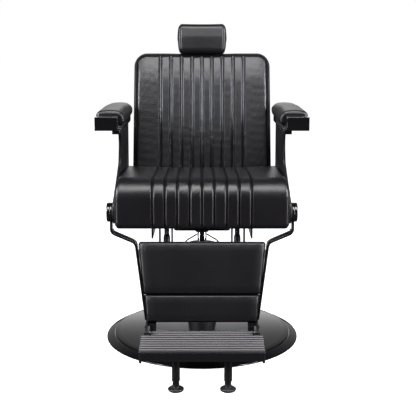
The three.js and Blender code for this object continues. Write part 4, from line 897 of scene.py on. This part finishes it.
# ---- Leg bars ----
def build_leg_bars():
    """Leg bars: a flat section carried down a line with rounded bends, and a round eye at the hub."""
    hub = JOINTS["legrest_swing"]["pos_m"]
    half_thick, half_wide, edge = 0.004, 0.018, 0.002
    bend_z = 0.436
    knee = (0.2125, -0.266, 0.404)
    section = rounded_line([(-half_thick, -half_wide, edge), (half_thick, -half_wide, edge),
                            (half_thick, half_wide, edge), (-half_thick, half_wide, edge)], 4, True)
    for word, side in SIDES:
        node = f"leg_bar_{word}"
        mirror = np.array([side, 1.0, 1.0])
        points = node_points(node) * mirror
        low, high = points.min(axis=0), points.max(axis=0)
        foot = points[points[:, 2] < low[2] + 0.004]
        foot = 0.5 * (foot.min(axis=0) + foot.max(axis=0))
        top_x = high[0] - half_thick
        line = rounded_line([(top_x, hub[2], 0.0), (top_x, bend_z, 0.020), (knee[0], knee[2], 0.022),
                             (foot[0], low[2], 0.0)], 12)
        length = walked(line)
        centre = points_at(line, np.unique(np.concatenate([length, np.linspace(0.0, length[-1], 60)])))
        along = np.gradient(centre, axis=0)
        along /= np.linalg.norm(along, axis=1, keepdims=True)
        y = np.interp(-centre[:, 1], [0.03 - hub[2], -knee[2], -low[2]], [hub[1], knee[1], foot[1]])
        rows = np.stack([centre[:, :1] + along[:, 1:] * section[:, 0], y[:, None] + section[:, 1],
                         centre[:, 1:] - along[:, :1] * section[:, 0]], axis=-1)
        caps = [np.repeat(rows[k].mean(axis=0)[None, None], len(section), axis=1) for k in (0, -1)]
        rows = np.concatenate([caps[0], rows, caps[1]]) * mirror
        radius, inner, outer = high[2] - hub[2], top_x - half_thick, top_x + half_thick
        eye = turned(rounded_line([(0.0, inner, 0.0), (radius, inner, edge), (radius, outer, edge),
                                   (0.0, outer, 0.0)], 4), sideways(hub[1], hub[2], side), 72)
        piece = solid(f"bent_bar_{word}", [(rows, False, True), eye], TURNED_EDGE)
        fit_out(piece, "gloss_black", "legrest", node)


# ---- Plates, brackets and other cut metal ----
EDGE_WIDTHS = {           # width of the rounded edges: the nodes, with * for left and for right
    0.0: "lock_bail",
    0.0006: "foot_tread",
    0.0008: "cheek_plate_* strut_bracket_* strut_rod_* strut_tube_* calf_board base_plate flange_bolts "
            "pedal_pin leg_cross_tube",
    0.001: "foot_ear_* pedal_tread headrest_bar seat_board back_board headrest_board recline_lever "
           "lever_grip clamp_knob recline_shaft",
    0.0012: "foot_plate",
    0.0015: "mount_plate pedal_lever pedal_bracket back_arm_*",
    0.0018: "side_plate_*",
    0.002: "arm_rail_* seat_subframe headrest_socket",
}


def edged_copy(node, width):
    """A copy of a flat-cut node, welded and cleaned, with rounded edges that catch the light."""
    name = f"{node}_edged"
    mesh = frame["nodes"][node].data.copy()
    mesh.name = name
    built = bmesh.new()
    built.from_mesh(mesh)
    bmesh.ops.remove_doubles(built, verts=built.verts, dist=CAD_WELD)
    bmesh.ops.dissolve_limit(built, angle_limit=math.radians(1.0), verts=built.verts, edges=built.edges)
    built.to_mesh(mesh)
    built.free()
    shade_edges(mesh, CUT_EDGE)
    piece = add_object(name, mesh)
    if width > 0.0:
        bevel = piece.modifiers.new("edges", "BEVEL")
        bevel.width = width
        bevel.segments = 2
        bevel.limit_method = "ANGLE"
        bevel.angle_limit = math.radians(CUT_EDGE)
    return piece


def build_cut_metal():
    """Plates, brackets, boards and other cut nodes, with rounded edges."""
    slots = {part["node"]: part["material_slot"] for part in frame["record"]["subparts"]}
    for width, names in EDGE_WIDTHS.items():
        for node in sorted({name.replace("*", word) for name in names.split() for word, _ in SIDES}):
            body = frame["nodes"][node]["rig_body"]
            fit_out(edged_copy(node, width), slots[node], body, node)


# ---- Studio ----
def build_camera():
    """Camera in front of the chair, looking slightly down."""
    studio = bpy.context.scene.chair_studio
    data = bpy.data.cameras.new("camera")
    data.lens = studio.lens
    data.shift_x = studio.shift
    camera = add_object("camera", data)
    camera.location = (0.0, -studio.distance, studio.height)
    camera.rotation_euler = (math.pi / 2 - studio.pitch, 0.0, 0.0)
    bpy.context.scene.camera = camera


def lamp(name, place, aim, width, height, power, colour=(1.0, 1.0, 1.0)):
    """A rectangular soft lamp that faces a point."""
    data = bpy.data.lights.new(name, "AREA")
    data.shape = "RECTANGLE"
    data.size = width
    data.size_y = height
    data.energy = power
    data.color = colour
    made = add_object(name, data)
    made.location = place
    made.rotation_euler = (Vector(aim) - Vector(place)).to_track_quat("-Z", "Y").to_euler()


def combined(tree, operation, *sources):
    """The result of a math node fed by one or two sockets."""
    node = add_node(tree, "Math", dict(enumerate(sources)))
    node.operation = operation
    return node.outputs[0]


def coordinates(tree, kind):
    """Sockets with the X, Y and Z of a kind of texture coordinate."""
    return add_node(tree, "SeparateXYZ", {0: add_node(tree, "TexCoord", {}).outputs[kind]}).outputs


def chosen(tree, factor, first, second, target):
    """Links a target to the first shader, or to the second where the factor is 1."""
    mix = add_node(tree, "MixShader", {0: factor, 1: first.outputs[0], 2: second.outputs[0]})
    tree.links.new(mix.outputs[0], target.inputs["Surface"])


def build_world():
    """Even light, with white shown to the camera and a white card behind the chair to polished surfaces.

    The card's level rises with the direction's rearward part and falls to either side of it.
    """
    world = bpy.data.worlds.new("studio")
    bpy.context.scene.world = world
    world.use_nodes = True
    tree = world.node_tree
    tree.nodes.clear()
    white = {"Color": (1.0, 1.0, 1.0, 1.0)}
    even = add_node(tree, "Background", {**white, "Strength": bpy.context.scene.chair_studio.ambient})
    rays = add_node(tree, "LightPath", {}).outputs
    seen = combined(tree, "MAXIMUM", rays["Is Camera Ray"], rays["Is Transmission Ray"])
    polished = combined(tree, "MAXIMUM", seen, rays["Is Glossy Ray"])
    direction = coordinates(tree, "Generated")
    rearward = mapped(tree, direction["Y"], 0.55, 0.97, 0.022, 0.95)
    centred = mapped(tree, combined(tree, "ABSOLUTE", direction["X"]), 0.10, 0.26, 1.0, 0.3)
    card = combined(tree, "MULTIPLY", rearward, centred)
    shown = add_node(tree, "Background", {**white, "Strength": combined(tree, "MAXIMUM", seen, card)})
    chosen(tree, polished, even, shown, add_node(tree, "OutputWorld", {}))


def build_floor():
    """Pale floor: white to the camera where it is lit, a little darker where the chair shades it.

    To other rays it is dark in front of the chair and far off, and pale behind it, to light the rear
    faces.
    """
    reach = 12.0
    mesh = bpy.data.meshes.new("floor")
    corners = [(x * reach, y * reach, 0.0) for x, y in ((-1, -1), (1, -1), (1, 1), (-1, 1))]
    mesh.from_pydata(corners, [], [(0, 1, 2, 3)])
    material, lit = new_material("pale_floor", (0.8, 0.8, 0.8), 1.0)
    lit.inputs["Specular IOR Level"].default_value = 0.0
    mesh.materials.append(material)
    tree = material.node_tree
    rearward = coordinates(tree, "Object")["Y"]
    patch = combined(tree, "MULTIPLY", mapped(tree, rearward, 0.5, 1.5, 0.0, 0.6),
                     mapped(tree, rearward, 2.4, 3.4, 1.0, 0.0))
    behind = add_node(tree, "Emission", {"Strength": patch})
    glow = add_node(tree, "Emission", {"Strength": 0.92})
    dim = add_node(tree, "BsdfDiffuse", {"Color": (0.045, 0.042, 0.045, 1.0)})
    unseen = add_node(tree, "AddShader", {0: dim.outputs[0], 1: behind.outputs[0]})
    shown = add_node(tree, "AddShader", {0: lit.outputs[0], 1: glow.outputs[0]})
    camera_ray = add_node(tree, "LightPath", {}).outputs["Is Camera Ray"]
    chosen(tree, camera_ray, unseen, shown, tree.nodes["Material Output"])
    add_object("floor", mesh)


def build_stage():
    """Camera, world, floor and lamps: one above the front, a low and a high strip at each side."""
    warm, cool = (1.0, 0.96, 0.93), (0.84, 0.88, 1.0)
    studio = bpy.context.scene.chair_studio
    bpy.context.scene.view_settings.view_transform = "Standard"
    build_camera()
    build_world()
    build_floor()
    lamp("key", (0.0, -1.25, 2.3), (0.0, 0.0, 0.7), 1.6, 1.0, studio.key)
    for word, side in SIDES:
        lamp(f"side_{word}", (side * 2.3, -1.0, 1.0), (0.0, 0.0, 0.6), 0.34, 1.9, studio.side, warm)
        lamp(f"cool_{word}", (side * 1.8, -1.4, 1.65), (0.0, 0.2, 0.8), 0.22, 1.1, studio.fill, cool)


# ---- Operators ----
def make_operator(label, builder):
    """An operator class that runs one builder, with its name and the first line of its docstring."""
    name = builder.__name__.removeprefix("build_")

    def execute(self, context):
        builder()
        return {"FINISHED"}

    return type(f"CHAIR_OT_{name}", (bpy.types.Operator,), {
        "bl_idname": f"chair.{name}", "bl_label": label, "__doc__": builder.__doc__.splitlines()[0],
        "execute": execute})


OPERATORS = [make_operator(label, builder) for label, builder in (
    ("Studio", build_stage), ("Finishes", build_finishes), ("Base", build_base),
    ("Column", build_column), ("Pivot caps", build_hubs), ("Floor legs", build_floor_legs),
    ("Leg bars", build_leg_bars), ("Cut metal", build_cut_metal), ("Seat cushion", build_seat),
    ("Back cushion", build_back), ("Rear panel", build_rear_panel), ("Headrest", build_headrest),
    ("Arm pads", build_arm_pads), ("Calf pads", build_calf_pads),
)]


class CHAIR_PT_panel(bpy.types.Panel):
    """Lists the chair's pieces and settings."""
    bl_idname = "CHAIR_PT_panel"
    bl_label = "Barber chair"
    bl_space_type = "VIEW_3D"
    bl_region_type = "UI"
    bl_category = "Barber chair"

    def draw(self, context):
        for group_name, _ in GROUPS:
            group = getattr(context.scene, group_name)
            for name in group.bl_rna.properties.keys():
                if name not in {"rna_type", "name"}:
                    self.layout.prop(group, name)
        for operator in OPERATORS:
            self.layout.operator(operator.bl_idname)


GROUPS = (("chair_sizes", ChairSizes), ("chair_finishes", ChairFinishes),
          ("chair_studio", StudioSettings))


def register():
    """Registers the groups, the operators and the panel."""
    for name, group in GROUPS:
        bpy.utils.register_class(group)
        setattr(bpy.types.Scene, name, PointerProperty(type=group))
    for operator in OPERATORS:
        bpy.utils.register_class(operator)
    bpy.utils.register_class(CHAIR_PT_panel)


def unregister():
    """Takes away what register added, in the opposite order."""
    bpy.utils.unregister_class(CHAIR_PT_panel)
    for operator in reversed(OPERATORS):
        bpy.utils.unregister_class(operator)
    for name, group in reversed(GROUPS):
        delattr(bpy.types.Scene, name)
        bpy.utils.unregister_class(group)


def main():
    """Builds the whole chair and writes its size before and after."""
    register()
    for operator in OPERATORS:
        getattr(bpy.ops.chair, operator.bl_idname.split(".")[1])()


if __name__ == "__main__":
    main()
